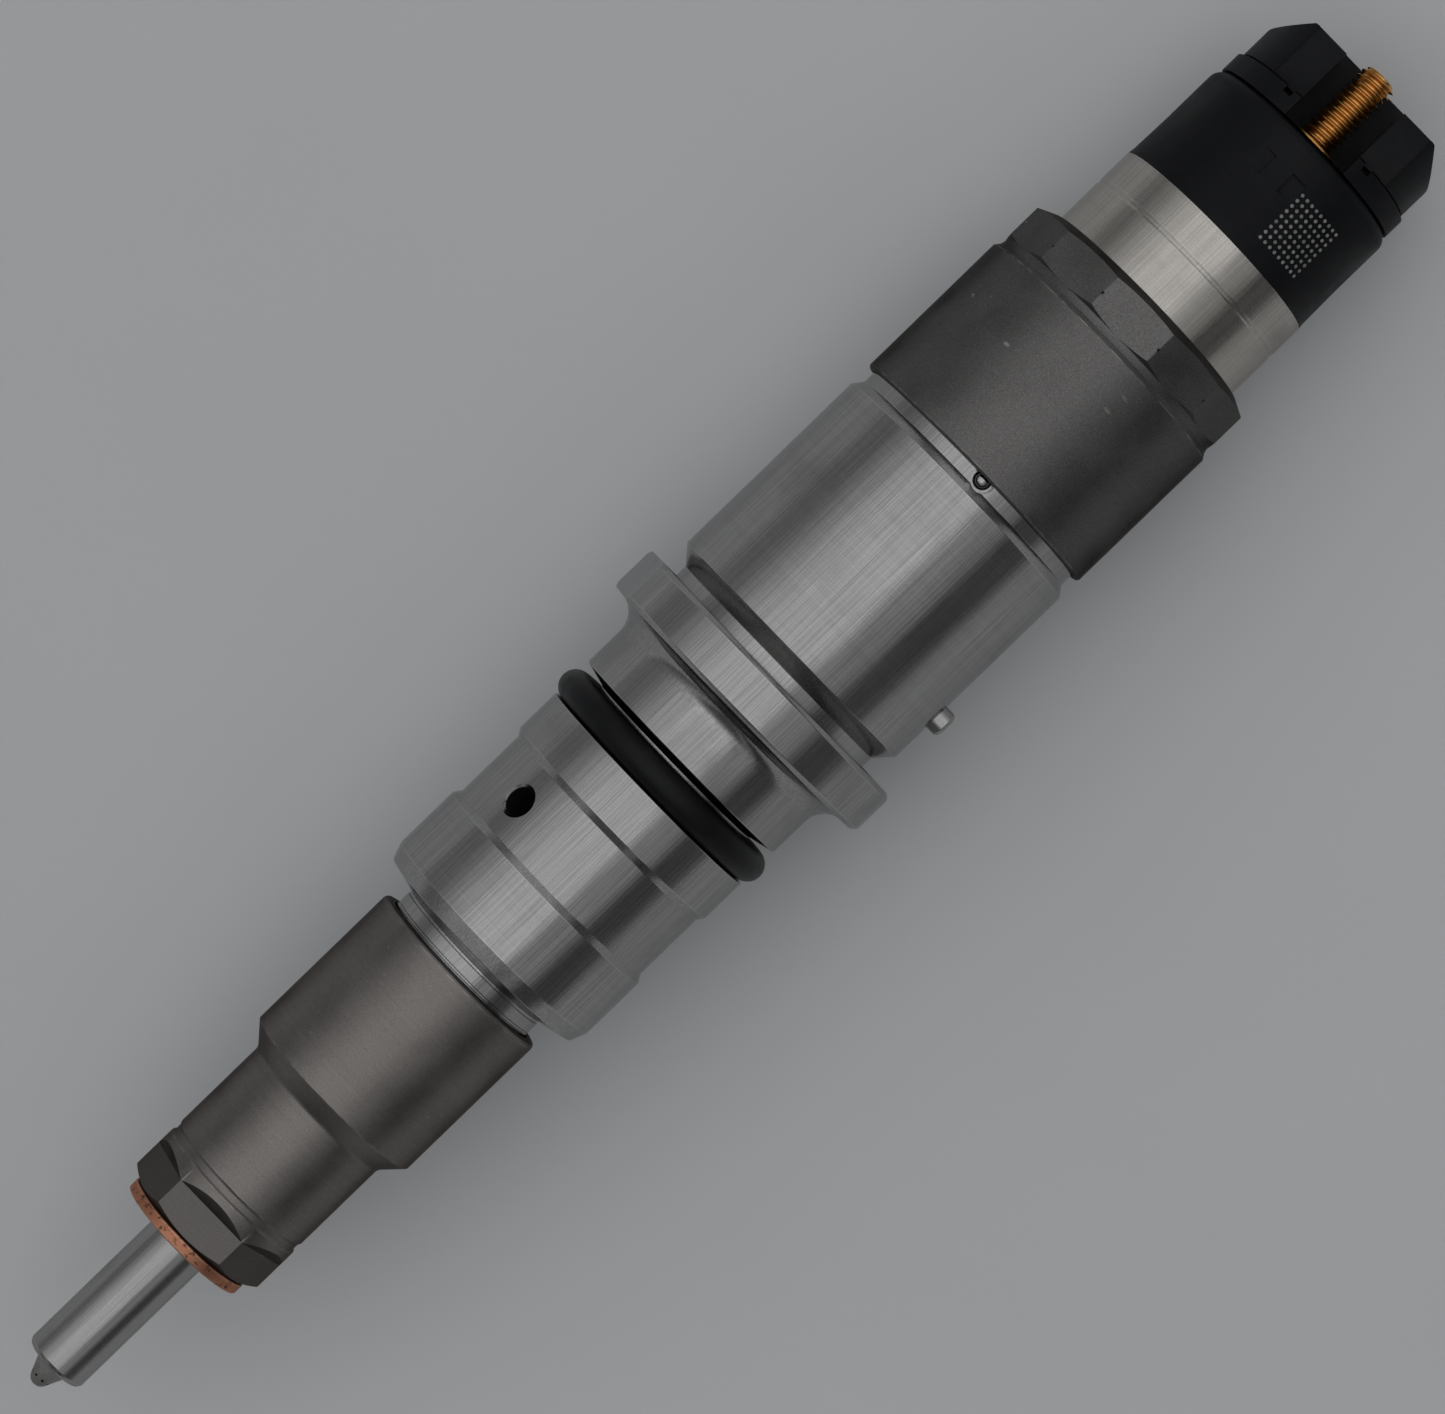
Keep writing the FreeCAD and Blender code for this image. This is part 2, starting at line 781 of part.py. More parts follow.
def plug_hole():
    """Cross drilling out of the armature chamber, closed by a pressed ball."""
    surface = top_neck_r
    pilot = rod(
        at(plug_x, armature_chamber_r - 0.5, plug_clock),
        at(plug_x, surface, plug_clock),
        plug_ball_r,
    )
    mouth = rod(
        at(plug_x, surface - plug_mouth_depth, plug_clock),
        at(plug_x, surface + 1, plug_clock),
        plug_mouth_r,
    )
    return [pilot, mouth]


def injector_body():
    """Holder body: one turned steel piece that everything else screws to or sits in."""
    pin_hole = rod(
        at(pin_x, barrel_r - pin_deep, pin_clock),
        at(pin_x, barrel_r + 1, pin_clock),
        pin_d / 2,
    )
    cuts = [body_bore(), pin_hole] + inlet_port() + return_port() + plug_hole() + dowel_holes()
    return body_outside().cut(cuts)


def body_o_ring():
    """Rubber ring that seals the body in the cylinder head's bore."""
    cord_r = o_ring_cord / 2
    middle = ring_groove_start + running_gap + cord_r
    centre_r = ring_groove_d / 2 + running_gap + cord_r
    return Part.makeTorus(centre_r, cord_r, Vector(middle, 0, 0), Vector(1, 0, 0))


def locating_pin():
    """Hardened pin pressed into the barrel. It sets the injector's clock position in the head."""
    inner = at(pin_x, barrel_r - pin_deep, pin_clock)
    straight = at(pin_x, barrel_r + pin_out - pin_chamfer, pin_clock)
    end = at(pin_x, barrel_r + pin_out, pin_clock)
    tip = rod(straight, end, pin_d / 2, pin_d / 2 - pin_chamfer)
    return rod(inner, straight, pin_d / 2).fuse(tip).removeSplitter()


def leak_plug_ball():
    centre_r = top_neck_r - plug_mouth_depth
    return Part.makeSphere(plug_ball_r, at(plug_x, centre_r, plug_clock))


# ---- control valve and armature ----


def valve_piece():
    """Valve piece: control chamber, throttle and the conical seat that the ball closes."""
    mouth = ball_seat_mouth_r / math.tan(math.radians(ball_seat_half_angle))
    bore_r = piston_guide_r + running_gap
    throttle_start = valve_top - mouth - throttle_length
    piece = turned(
        (valve_foot, bore_r),
        (valve_foot, valve_shank_r),
        (valve_shoulder, valve_shank_r),
        (valve_shoulder, valve_flange_r),
        (valve_top, valve_flange_r),
        (valve_top, ball_seat_mouth_r),
        (valve_top - mouth + across(90 - ball_seat_half_angle, throttle_r), throttle_r),
        (throttle_start, throttle_r),
        (throttle_start, outlet_drill_r),
        (valve_bore_end, outlet_drill_r),
        (valve_bore_end, bore_r),
    )
    inlet_throttle = rod(
        at(valve_bore_end - 0.2, bore_r - 0.2, inlet_clock),
        at(valve_bore_end - 0.2, valve_shank_r + 0.5, inlet_clock),
        throttle_r,
    )
    return piece.cut(inlet_throttle)


def valve_seal_ring():
    """Plastic ring that keeps rail pressure in the ring chamber."""
    return ring(
        pressure_ring_start,
        pressure_ring_start + seal_ring_t,
        pressure_ring_r - running_gap,
        valve_shank_r + running_gap,
    )


def valve_ball():
    return Part.makeSphere(ball_r, Vector(ball_centre, 0, 0))


def ball_holder():
    """Small guide cup that carries the ball under the armature pin."""
    return ring(holder_start, holder_end, holder_r).cut(valve_ball())


def armature_guide():
    """Flanged sleeve that guides the armature pin and stops the plate's overtravel."""
    bore_r = armature_pin_r + running_gap
    recess_end = holder_end + armature_stroke + 0.15
    guide = turned(
        (valve_top, holder_r + slip_gap),
        (valve_top, valve_flange_r),
        (guide_flange_end, valve_flange_r),
        (guide_flange_end, guide_neck_r),
        (guide_neck_end, guide_neck_r),
        (guide_neck_end, guide_tip_r),
        (guide_top, guide_tip_r),
        (guide_top, bore_r),
        (recess_end, bore_r),
        (recess_end, holder_r + slip_gap),
    )
    holes = [
        rod(
            at(valve_top - 1, guide_hole_pitch_r, clock),
            at(guide_flange_end + 1, guide_hole_pitch_r, clock),
            guide_hole_r,
        )
        for clock in (60, 180, 300)
    ]
    return guide.cut(holes)


def valve_clamp_screw():
    """Ring screw with an inside hexagon. It clamps the guide and the valve piece on their seat."""
    screw = ring(guide_flange_end, clamp_screw_end, clamp_screw_r)
    screw = screw.cut(prism(guide_flange_end - 1, clamp_screw_end + 1, clamp_screw_af, 6))
    grooves = [
        rod(
            at(guide_flange_end - 1, clamp_screw_r, return_clock + turn),
            at(clamp_screw_end + 1, clamp_screw_r, return_clock + turn),
            clamp_groove_r,
        )
        for turn in (0, 120, 240)
    ]
    return screw.cut(grooves)


def armature_pin():
    """Pin that holds the ball down. A groove near its top takes the stop washer."""
    return turned(
        (holder_end, 0),
        (holder_end, armature_pin_r),
        (plate_top, armature_pin_r),
        (plate_top, armature_groove_r),
        (stop_washer_end, armature_groove_r),
        (stop_washer_end, armature_pin_r),
        (stop_washer_end + pin_head_length, armature_pin_r),
        (stop_washer_end + pin_head_length, 0),
    )


def armature_plate():
    """Soft iron plate that the solenoid lifts, slotted against eddy currents."""
    plate = ring(plate_foot, plate_top, armature_plate_r, armature_pin_r + running_gap)
    for turn in (0, 120, 240):
        slot = block(
            (plate_foot - 1, plate_top + 1),
            (-armature_slot_width / 2, armature_slot_width / 2),
            (armature_plate_r - 4.2, armature_plate_r + 1),
        )
        slot.rotate(Vector(0, 0, 0), Vector(1, 0, 0), turn)
        plate = plate.cut(slot)
    return plate


def armature_spring():
    """Light spring that lifts the plate back against the stop washer."""
    mean_r = guide_tip_r + 0.12 + armature_spring_wire / 2
    return coil_spring(
        guide_neck_end, plate_foot, mean_r, armature_spring_wire, armature_spring_turns
    )


def armature_stop_washer():
    """Horseshoe washer in the pin's groove. The plate hangs from it, the valve spring bears on it."""
    washer = ring(plate_top, stop_washer_end, stop_washer_r, armature_groove_r)
    slot = block(
        (plate_top - 1, stop_washer_end + 1),
        (-stop_washer_slot / 2, stop_washer_slot / 2),
        (0, stop_washer_r + 1),
    )
    return washer.cut(slot)


def stroke_shim():
    """Ground ring that sets the magnet's air gap."""
    return ring(shim_seat, core_face, spigot_r, stroke_shim_r)


# ---- solenoid ----


def coil_pin_holes(start, end):
    return [
        rod(
            at(start, coil_pin_offset, clock), at(end, coil_pin_offset, clock), coil_pin_hole_r
        )
        for clock in (0, 180)
    ]


def magnet_core():
    """Pressed iron pot that carries the magnetic field round the coil."""
    core = ring(core_face, core_end, core_r, core_bore_r)
    core = core.cut(ring(core_face, coil_slot_end, coil_slot_out_r, coil_slot_in_r))
    return core.cut(coil_pin_holes(coil_slot_end - 1, core_end + 1))


def coil_bobbin():
    """Plastic bobbin, pressed into the core's ring slot."""
    start = core_face + bobbin_recess
    end = coil_slot_end - 0.05
    inner, outer = coil_slot_in_r + slip_gap, coil_slot_out_r - slip_gap
    return turned(
        (start, inner),
        (start, outer),
        (start + bobbin_wall, outer),
        (start + bobbin_wall, inner + bobbin_wall),
        (end - bobbin_wall, inner + bobbin_wall),
        (end - bobbin_wall, outer),
        (end, outer),
        (end, inner),
    ).cut([coil_pin(clock) for clock in (0, 180)])


def coil_winding():
    """Enamelled copper wire, as one wound block."""
    start = core_face + bobbin_recess + bobbin_wall
    end = coil_slot_end - 0.05 - bobbin_wall
    inner = coil_slot_in_r + slip_gap + bobbin_wall
    return ring(start, end, coil_slot_out_r - 2 * slip_gap, inner)


def coil_pin(clock):
    start = coil_slot_end - 0.05 - bobbin_wall
    return rod(
        at(start, coil_pin_offset, clock), at(stud_anchor_start, coil_pin_offset, clock), coil_pin_r
    )


def coil_pins():
    """Two stiff leads from the winding up to the studs."""
    return Part.makeCompound([coil_pin(clock) for clock in (0, 180)])


def valve_spring():
    """Spring that holds the ball on its seat while the solenoid is off."""
    mean_r = core_bore_r - valve_spring_wire
    return coil_spring(
        stop_washer_end,
        core_end - valve_shim_t,
        mean_r,
        valve_spring_wire,
        valve_spring_turns,
    )


def valve_spring_shim():
    return ring(core_end - valve_shim_t, core_end, core_bore_r - slip_gap)


def core_end_plug():
    """Steel disc that closes the magnet's back."""
    plug = ring(core_end, plug_end, core_r)
    return plug.cut(coil_pin_holes(core_end - 1, plug_end + 1))


def solenoid_housing():
    """Bright steel sleeve round the magnet. Its collar is clamped on the body by the solenoid nut."""
    mark = solenoid_nut_end + housing_mark
    half = housing_mark_width / 2
    groove_middle = (core_face + body_top) / 2
    groove_half = solenoid_ring_groove / 2
    groove_r = spigot_r + slip_gap - solenoid_ring_cord - 2 * running_gap
    neck_end_x = cap_start + housing_neck_length
    return turned(
        (core_face, core_r + slip_gap),
        (core_face, spigot_r),
        (groove_middle - groove_half, spigot_r),
        (groove_middle - groove_half, groove_r),
        (groove_middle + groove_half, groove_r),
        (groove_middle + groove_half, spigot_r),
        (body_top, spigot_r),
        (body_top, housing_collar_r),
        (collar_end, housing_collar_r),
        (collar_end, housing_r),
        (mark - half, housing_r),
        (mark, housing_r - housing_mark_depth),
        (mark + half, housing_r),
        (cap_start, housing_r),
        (cap_start, housing_neck_r),
        (neck_end_x, housing_neck_r),
        (neck_end_x, housing_upper_bore_r),
        (plug_end, housing_upper_bore_r),
        (plug_end, core_r + slip_gap),
    )


def solenoid_o_ring():
    centre_r = spigot_r + slip_gap - running_gap - solenoid_ring_cord / 2
    middle = Vector((core_face + body_top) / 2, 0, 0)
    return Part.makeTorus(centre_r, solenoid_ring_cord / 2, middle, Vector(1, 0, 0))


def solenoid_nut():
    """Union nut with a twelve-sided wrench band. It clamps the solenoid on the body."""
    nut_r = solenoid_nut_r
    corner_r = solenoid_nut_af / 2 / math.cos(math.pi / solenoid_nut_sides)
    band = solenoid_nut_end - solenoid_nut_band
    relief_r = nut_r - solenoid_nut_relief
    lip = nut_r - across(solenoid_nut_chamfer_angle, solenoid_nut_chamfer)
    nut = turned(
        (solenoid_nut_start, 0),
        (solenoid_nut_start, nut_r - 0.25),
        (solenoid_nut_start + 0.25, nut_r),
        (band - 0.7, nut_r),
        (band, relief_r),
        (band + 0.5, relief_r),
        (band + 1.1, nut_r + 0.1),
        (solenoid_nut_end - solenoid_nut_chamfer, nut_r + 0.1),
        (solenoid_nut_end, lip),
        (solenoid_nut_end, 0),
    )
    keep = prism(band, solenoid_nut_end + 1, solenoid_nut_af, solenoid_nut_sides)
    keep = keep.fuse(ring(solenoid_nut_start - 1, band + 0.3, nut_r + 1))
    nut = nut.common(keep)
    mouth_end = top_thread_start + 0.1
    return nut.cut(
        turned(
            (solenoid_nut_start, 0),
            (solenoid_nut_start, top_neck_r + slip_gap),
            (mouth_end, top_neck_r + slip_gap),
            (mouth_end, top_thread_r + thread_gap),
            (collar_end, top_thread_r + thread_gap),
            (collar_end, housing_r + slip_gap),
            (solenoid_nut_end, housing_r + slip_gap),
            (solenoid_nut_end, 0),
        )
    )


# ---- connector ----


def stud_point(x, side):
    return Vector(x, 0, side * stud_offset)


def terminal_stud(side):
    """Threaded contact stud: a round anchor and a waist in the cap, and a plain bar for the thread."""
    stud_r = stud_d / 2
    anchor_end = stud_anchor_start + stud_anchor_t
    waist_end = cap_top + contact_washer_t + stud_waist_proud
    anchor = rod(stud_point(stud_anchor_start, side), stud_point(anchor_end, side), stud_anchor_r)
    waist = rod(stud_point(anchor_end, side), stud_point(waist_end, side), stud_waist_r)
    bar = rod(stud_point(waist_end, side), stud_point(stud_end - stud_chamfer, side), stud_r)
    tip = rod(
        stud_point(stud_end - stud_chamfer, side),
        stud_point(stud_end, side),
        stud_r,
        stud_r - stud_chamfer,
    )
    return anchor.fuse([waist, bar, tip]).removeSplitter()


def terminal_stud_front():
    return terminal_stud(1)


def terminal_stud_rear():
    return terminal_stud(-1)


def contact_washers():
    """Thin brass rings that the cable eyes are tightened on."""
    washer_end = cap_top + contact_washer_t
    bore_r = stud_d / 2 + contact_washer_gap
    rings = [
        rod(stud_point(cap_top, side), stud_point(washer_end, side), contact_washer_r).cut(
            rod(stud_point(cap_top, side), stud_point(washer_end, side), bore_r)
        )
        for side in (1, -1)
    ]
    return Part.makeCompound(rings)


def cap_tower_cuts():
    """What is taken off the cap's top: the cable bays, wall panels, snap notches and corner slopes."""
    half_bay = bay_width / 2
    panel = tower_panel_half_width
    far = cap_r + 5
    high = tower_top + 5
    foot = disc_top + tower_foot_groove
    cuts = []
    for side in (1, -1):
        bay = sorted((side * divider_t / 2, side * far))
        face = sorted((side * tower_face, side * far))
        cuts.append(block((cap_top, high), (-half_bay, half_bay), bay))
        cuts.append(block((foot, high), (-panel, panel), face))
        for hand in (1, -1):
            near = half_bay + tower_notch_inset
            notch = sorted((hand * near, hand * (near + tower_notch)))
            deep = sorted((side * (tower_face - 1.5), side * far))
            cuts.append(block((foot - tower_notch, foot + 0.1), notch, deep))
    for hand in (1, -1):
        slope = Part.makePolygon(
            [
                Vector(tower_top - tower_chamfer, hand * (tower_r + 0.01), -far),
                Vector(tower_top + 3, hand * (tower_r - tower_chamfer - 3), -far),
                Vector(tower_top + 3, hand * far, -far),
                Vector(tower_top - tower_chamfer, hand * far, -far),
                Vector(tower_top - tower_chamfer, hand * (tower_r + 0.01), -far),
            ]
        )
        cuts.append(Part.Face(slope).extrude(Vector(0, 0, 2 * far)))
    return cuts


def connector_cap():
    """Moulded cap: closes the housing, anchors the studs and walls them off from each other."""
    shoulder_x = cap_top - cap_shoulder
    turn = cap_shoulder * math.sqrt(0.5)
    disc_edge = 0.25
    cap = turned(
        (plug_end, 0),
        (plug_end, housing_upper_bore_r),
        (cap_start + housing_neck_length, housing_upper_bore_r),
        (cap_start + housing_neck_length, housing_neck_r),
        (cap_start, housing_neck_r),
        (cap_start, cap_r + cap_foot_flare),
        (cap_start + 0.4, cap_r + cap_foot_flare / 2),
        (cap_start + 5, cap_r),
        (shoulder_x, cap_r),
        ((shoulder_x + turn, cap_r - cap_shoulder + turn), (cap_top, cap_r - cap_shoulder)),
        (cap_top, cap_disc_r),
        (disc_top - disc_edge, cap_disc_r),
        (disc_top, cap_disc_r - disc_edge),
        (disc_top, tower_r - 0.3),
        (disc_top + tower_foot_groove, tower_r - 0.3),
        (disc_top + tower_foot_groove, tower_r),
        (tower_top, tower_r),
        (tower_top, 0),
    )
    cap = cap.cut(cap_tower_cuts())
    divider = block(
        (cap_top - 1, tower_top + divider_proud),
        (-bay_width / 2 - 0.5, bay_width / 2 + 0.5),
        (-divider_t / 2, divider_t / 2),
    )
    cap = cap.fuse(divider).removeSplitter()
    return cap.cut([terminal_stud(1), terminal_stud(-1), coil_pin(0), coil_pin(180)])


pieces = (
    nozzle_body,
    nozzle_needle,
    nozzle_dowel_pins,
    sealing_washer,
    nozzle_nut,
    pressure_pin,
    nozzle_spring,
    nozzle_spring_shim,
    control_piston,
    injector_body,
    body_o_ring,
    locating_pin,
    leak_plug_ball,
    valve_piece,
    valve_seal_ring,
    valve_ball,
    ball_holder,
    armature_guide,
    valve_clamp_screw,
    armature_pin,
    armature_plate,
    armature_spring,
    armature_stop_washer,
    stroke_shim,
    magnet_core,
    coil_bobbin,
    coil_winding,
    coil_pins,
    valve_spring,
    valve_spring_shim,
    core_end_plug,
    solenoid_housing,
    solenoid_o_ring,
    solenoid_nut,
    terminal_stud_front,
    terminal_stud_rear,
    contact_washers,
    connector_cap,
)

os.makedirs("parts", exist_ok=True)
for piece in pieces:
    shape = piece()
    solids = shape.Solids
    print(f"{piece.__name__:22s} solids {len(solids)} valid {shape.isValid()} {shape.Volume:9.2f} mm3")
    shape.exportStep(f"parts/{piece.__name__}.step")
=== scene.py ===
import json
import math

import bmesh
import bpy
from mathutils import Matrix, Vector


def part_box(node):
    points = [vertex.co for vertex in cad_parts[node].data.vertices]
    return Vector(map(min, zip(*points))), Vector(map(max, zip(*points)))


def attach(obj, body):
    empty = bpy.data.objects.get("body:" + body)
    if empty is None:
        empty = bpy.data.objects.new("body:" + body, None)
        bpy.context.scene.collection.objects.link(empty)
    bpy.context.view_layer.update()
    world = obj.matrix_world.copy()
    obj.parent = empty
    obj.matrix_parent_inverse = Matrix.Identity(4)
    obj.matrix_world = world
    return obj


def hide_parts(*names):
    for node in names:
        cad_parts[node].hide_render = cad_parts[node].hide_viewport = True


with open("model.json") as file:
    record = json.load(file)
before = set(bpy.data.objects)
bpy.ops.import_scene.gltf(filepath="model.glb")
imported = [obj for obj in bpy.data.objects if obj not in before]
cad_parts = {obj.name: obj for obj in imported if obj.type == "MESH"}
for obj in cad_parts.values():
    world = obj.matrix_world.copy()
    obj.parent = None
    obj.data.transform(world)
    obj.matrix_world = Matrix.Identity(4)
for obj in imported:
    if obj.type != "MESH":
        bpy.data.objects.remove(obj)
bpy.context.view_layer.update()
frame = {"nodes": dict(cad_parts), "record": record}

mm = 0.001

# ---- Holder body ----
# The long steel holder that everything screws to. It is turned from bar, and its lands, flange and
# barrel are ground bright. Ports: fuel inlet cone, return port, ball-plugged cross drilling.

turned_steps = 192
edge_break = 0.1  # millimetres, on every machined edge that has room for it


def along(node):
    """Where a CAD node starts and ends on the injector's axis, in millimetres."""
    low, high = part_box(node)
    return low[0] / mm, high[0] / mm


def radius_of(node):
    """Half of a CAD node's height: the radius of a turned one, in millimetres."""
    low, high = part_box(node)
    return (high[2] - low[2]) / 2 / mm


def at(place, radius, clock=0.0):
    """The point at a clock angle, in degrees from +Z towards +Y, and a distance from the axis."""
    turn = math.radians(clock)
    return Vector((place, radius * math.sin(turn), radius * math.cos(turn))) * mm


def turned(outline, steps=turned_steps, centre=(0, 0, 0)):
    """A bmesh spun about the X direction from (place, radius) points in millimetres. An outline that
    starts on the axis ends on it too; any other is a ring, and is closed."""
    mesh = bmesh.new()
    middle = Vector(centre) * mm
    points = [mesh.verts.new(middle + Vector((x, 0, r)) * mm) for x, r in outline]
    pairs = list(zip(points, points[1:]))
    if outline[0][1] > 0:
        pairs.append((points[-1], points[0]))
    sides = [mesh.edges.new(pair) for pair in pairs]
    bmesh.ops.spin(
        mesh, geom=points + sides, cent=middle, axis=(1, 0, 0), angle=math.tau, steps=steps, use_merge=True
    )
    bmesh.ops.remove_doubles(mesh, verts=mesh.verts, dist=1e-8)
    bmesh.ops.recalc_face_normals(mesh, faces=mesh.faces)
    return mesh


def unworn(mesh):
    """Gives a bmesh the mark for worn faces, with none set yet."""
    worn = mesh.loops.layers.float_color.new("worn")
    for face in mesh.faces:
        for loop in face.loops:
            loop[worn] = (0, 0, 0, 1)
    return worn


def eased(mesh, width=edge_break, least_turn=18):
    """Breaks the sharp edges that have room for it, and marks the new faces as worn bright."""
    room = 2.3 * width * mm
    sharp = []
    for edge in mesh.edges:
        if not edge.is_manifold or abs(math.degrees(edge.calc_face_angle_signed())) < least_turn:
            continue
        beside = [
            other.calc_length()
            for face in edge.link_faces
            for other in face.edges
            if other is not edge and set(other.verts) & set(edge.verts)
        ]
        if min(beside) > room:
            sharp.append(edge)
    outward = {edge for edge in sharp if edge.is_convex}
    worn = unworn(mesh)
    for group, mark in ((outward, 1.0), (set(sharp) - outward, 0.0)):
        made = bmesh.ops.bevel(
            mesh, geom=[e for e in group if e.is_valid], offset=width * mm, offset_type="OFFSET",
            segments=3, profile=0.5, affect="EDGES", material=-1, clamp_overlap=False,
        )
        for face in made["faces"]:
            for loop in face.loops:
                loop[worn] = (mark, mark, mark, 1.0)
    return mesh


def shown(name, mesh, *materials):
    """Makes an object of a bmesh, smooth shaded up to its sharp edges."""
    data = bpy.data.meshes.new(name)
    mesh.to_mesh(data)
    mesh.free()
    for material in materials:
        data.materials.append(material)
    data.shade_smooth()
    data.set_sharp_from_angle(angle=math.radians(30))
    piece = bpy.data.objects.new(name, data)
    bpy.context.scene.collection.objects.link(piece)
    return piece


def bar(start, end, radius, end_radius=None, steps=48):
    """A round bar or a cone between two points in metres, as a bmesh. Radii are in millimetres."""
    mesh = bmesh.new()
    way = end - start
    turn = way.to_track_quat("Z", "Y").to_matrix().to_4x4()
    bmesh.ops.create_cone(
        mesh, cap_ends=True, segments=steps, radius1=radius * mm,
        radius2=(radius if end_radius is None else end_radius) * mm, depth=way.length,
        matrix=Matrix.Translation((start + end) / 2) @ turn,
    )
    return mesh


def block(low, high):
    """A box between two corners in millimetres, as a bmesh."""
    mesh = bmesh.new()
    low, high = Vector(low), Vector(high)
    place = Matrix.Translation((low + high) / 2 * mm) @ Matrix.Diagonal((*(high - low) * mm, 1))
    bmesh.ops.create_cube(mesh, size=1, matrix=place)
    return mesh


def worked(piece, how, *tools, lining=0):
    """Cuts a piece with each tool's bmesh, joins it on, or keeps what they share. The tools are used up.
    What a tool leaves behind takes the piece's material number given as lining."""
    for tool in tools:
        for face in tool.faces:
            face.material_index = lining
        if not tool.loops.layers.float_color.get("worn"):
            unworn(tool)
        data = bpy.data.meshes.new("tool")
        tool.to_mesh(data)
        tool.free()
        for material in piece.data.materials:
            data.materials.append(material)
        cutter = bpy.data.objects.new("tool", data)
        bpy.context.scene.collection.objects.link(cutter)
        change = piece.modifiers.new("work", "BOOLEAN")
        change.operation, change.object, change.solver = how, cutter, "EXACT"
        result = bpy.data.meshes.new_from_object(
            piece.evaluated_get(bpy.context.evaluated_depsgraph_get())
        )
        piece.modifiers.clear()
        old = piece.data
        piece.data = result
        result.name = piece.name
        bpy.data.objects.remove(cutter)
        bpy.data.meshes.remove(data)
        bpy.data.meshes.remove(old)
    piece.data.set_sharp_from_angle(angle=math.radians(30))
    return piece


def evened(piece):
    """Weighted normals, so that wide ground faces stay true right up to their broken edges."""
    shade = piece.modifiers.new("even shading", "WEIGHTED_NORMAL")
    shade.keep_sharp = True
    shade.weight = 90
    return piece


def node_group(name, inputs, outputs):
    """An empty shader group with float inputs and outputs, and its two end nodes."""
    group = bpy.data.node_groups.new(name, "ShaderNodeTree")
    for title, value in inputs.items():
        socket = group.interface.new_socket(title, in_out="INPUT", socket_type="NodeSocketFloat")
        socket.default_value = value
    for title in outputs:
        group.interface.new_socket(title, in_out="OUTPUT", socket_type="NodeSocketFloat")
    return group, group.nodes.new("NodeGroupInput"), group.nodes.new("NodeGroupOutput")


def noise(tree, where, scale, detail=2.0, roughness=0.5):
    """A noise node on a vector socket; returns its value."""
    node = tree.nodes.new("ShaderNodeTexNoise")
    node.inputs["Scale"].default_value = scale
    node.inputs["Detail"].default_value = detail
    node.inputs["Roughness"].default_value = roughness
    tree.links.new(where, node.inputs["Vector"])
    return node.outputs["Fac"]


def stretched(tree, where, scale):
    """A Mapping node that scales a vector along each axis."""
    node = tree.nodes.new("ShaderNodeMapping")
    node.inputs["Scale"].default_value = scale
    tree.links.new(where, node.inputs["Vector"])
    return node.outputs["Vector"]


def sums(tree, operation, a, b, limit=False):
    """A Math node; a and b are sockets or numbers."""
    node = tree.nodes.new("ShaderNodeMath")
    node.operation = operation
    node.use_clamp = limit
    for socket, value in zip(node.inputs, (a, b)):
        if isinstance(value, (int, float)):
            socket.default_value = value
        else:
            tree.links.new(value, socket)
    return node.outputs[0]


def between(tree, value, low, high, to_low=0.0, to_high=1.0):
    """A Map Range node with smooth ends."""
    node = tree.nodes.new("ShaderNodeMapRange")
    node.interpolation_type = "SMOOTHSTEP"
    tree.links.new(value, node.inputs["Value"])
    for title, number in (("From Min", low), ("From Max", high), ("To Min", to_low), ("To Max", to_high)):
        node.inputs[title].default_value = number
    return node.outputs["Result"]


def mixed(tree, factor, first, second):
    """A colour mix of two colours, each a tuple or a socket."""
    node = tree.nodes.new("ShaderNodeMix")
    node.data_type = "RGBA"
    tree.links.new(factor, node.inputs["Factor"])
    for title, colour in (("A", first), ("B", second)):
        socket = [s for s in node.inputs if s.name == title and s.type == "RGBA"][0]
        if isinstance(colour, tuple):
            socket.default_value = (*colour, 1)
        else:
            tree.links.new(colour, socket)
    return [s for s in node.outputs if s.type == "RGBA"][0]


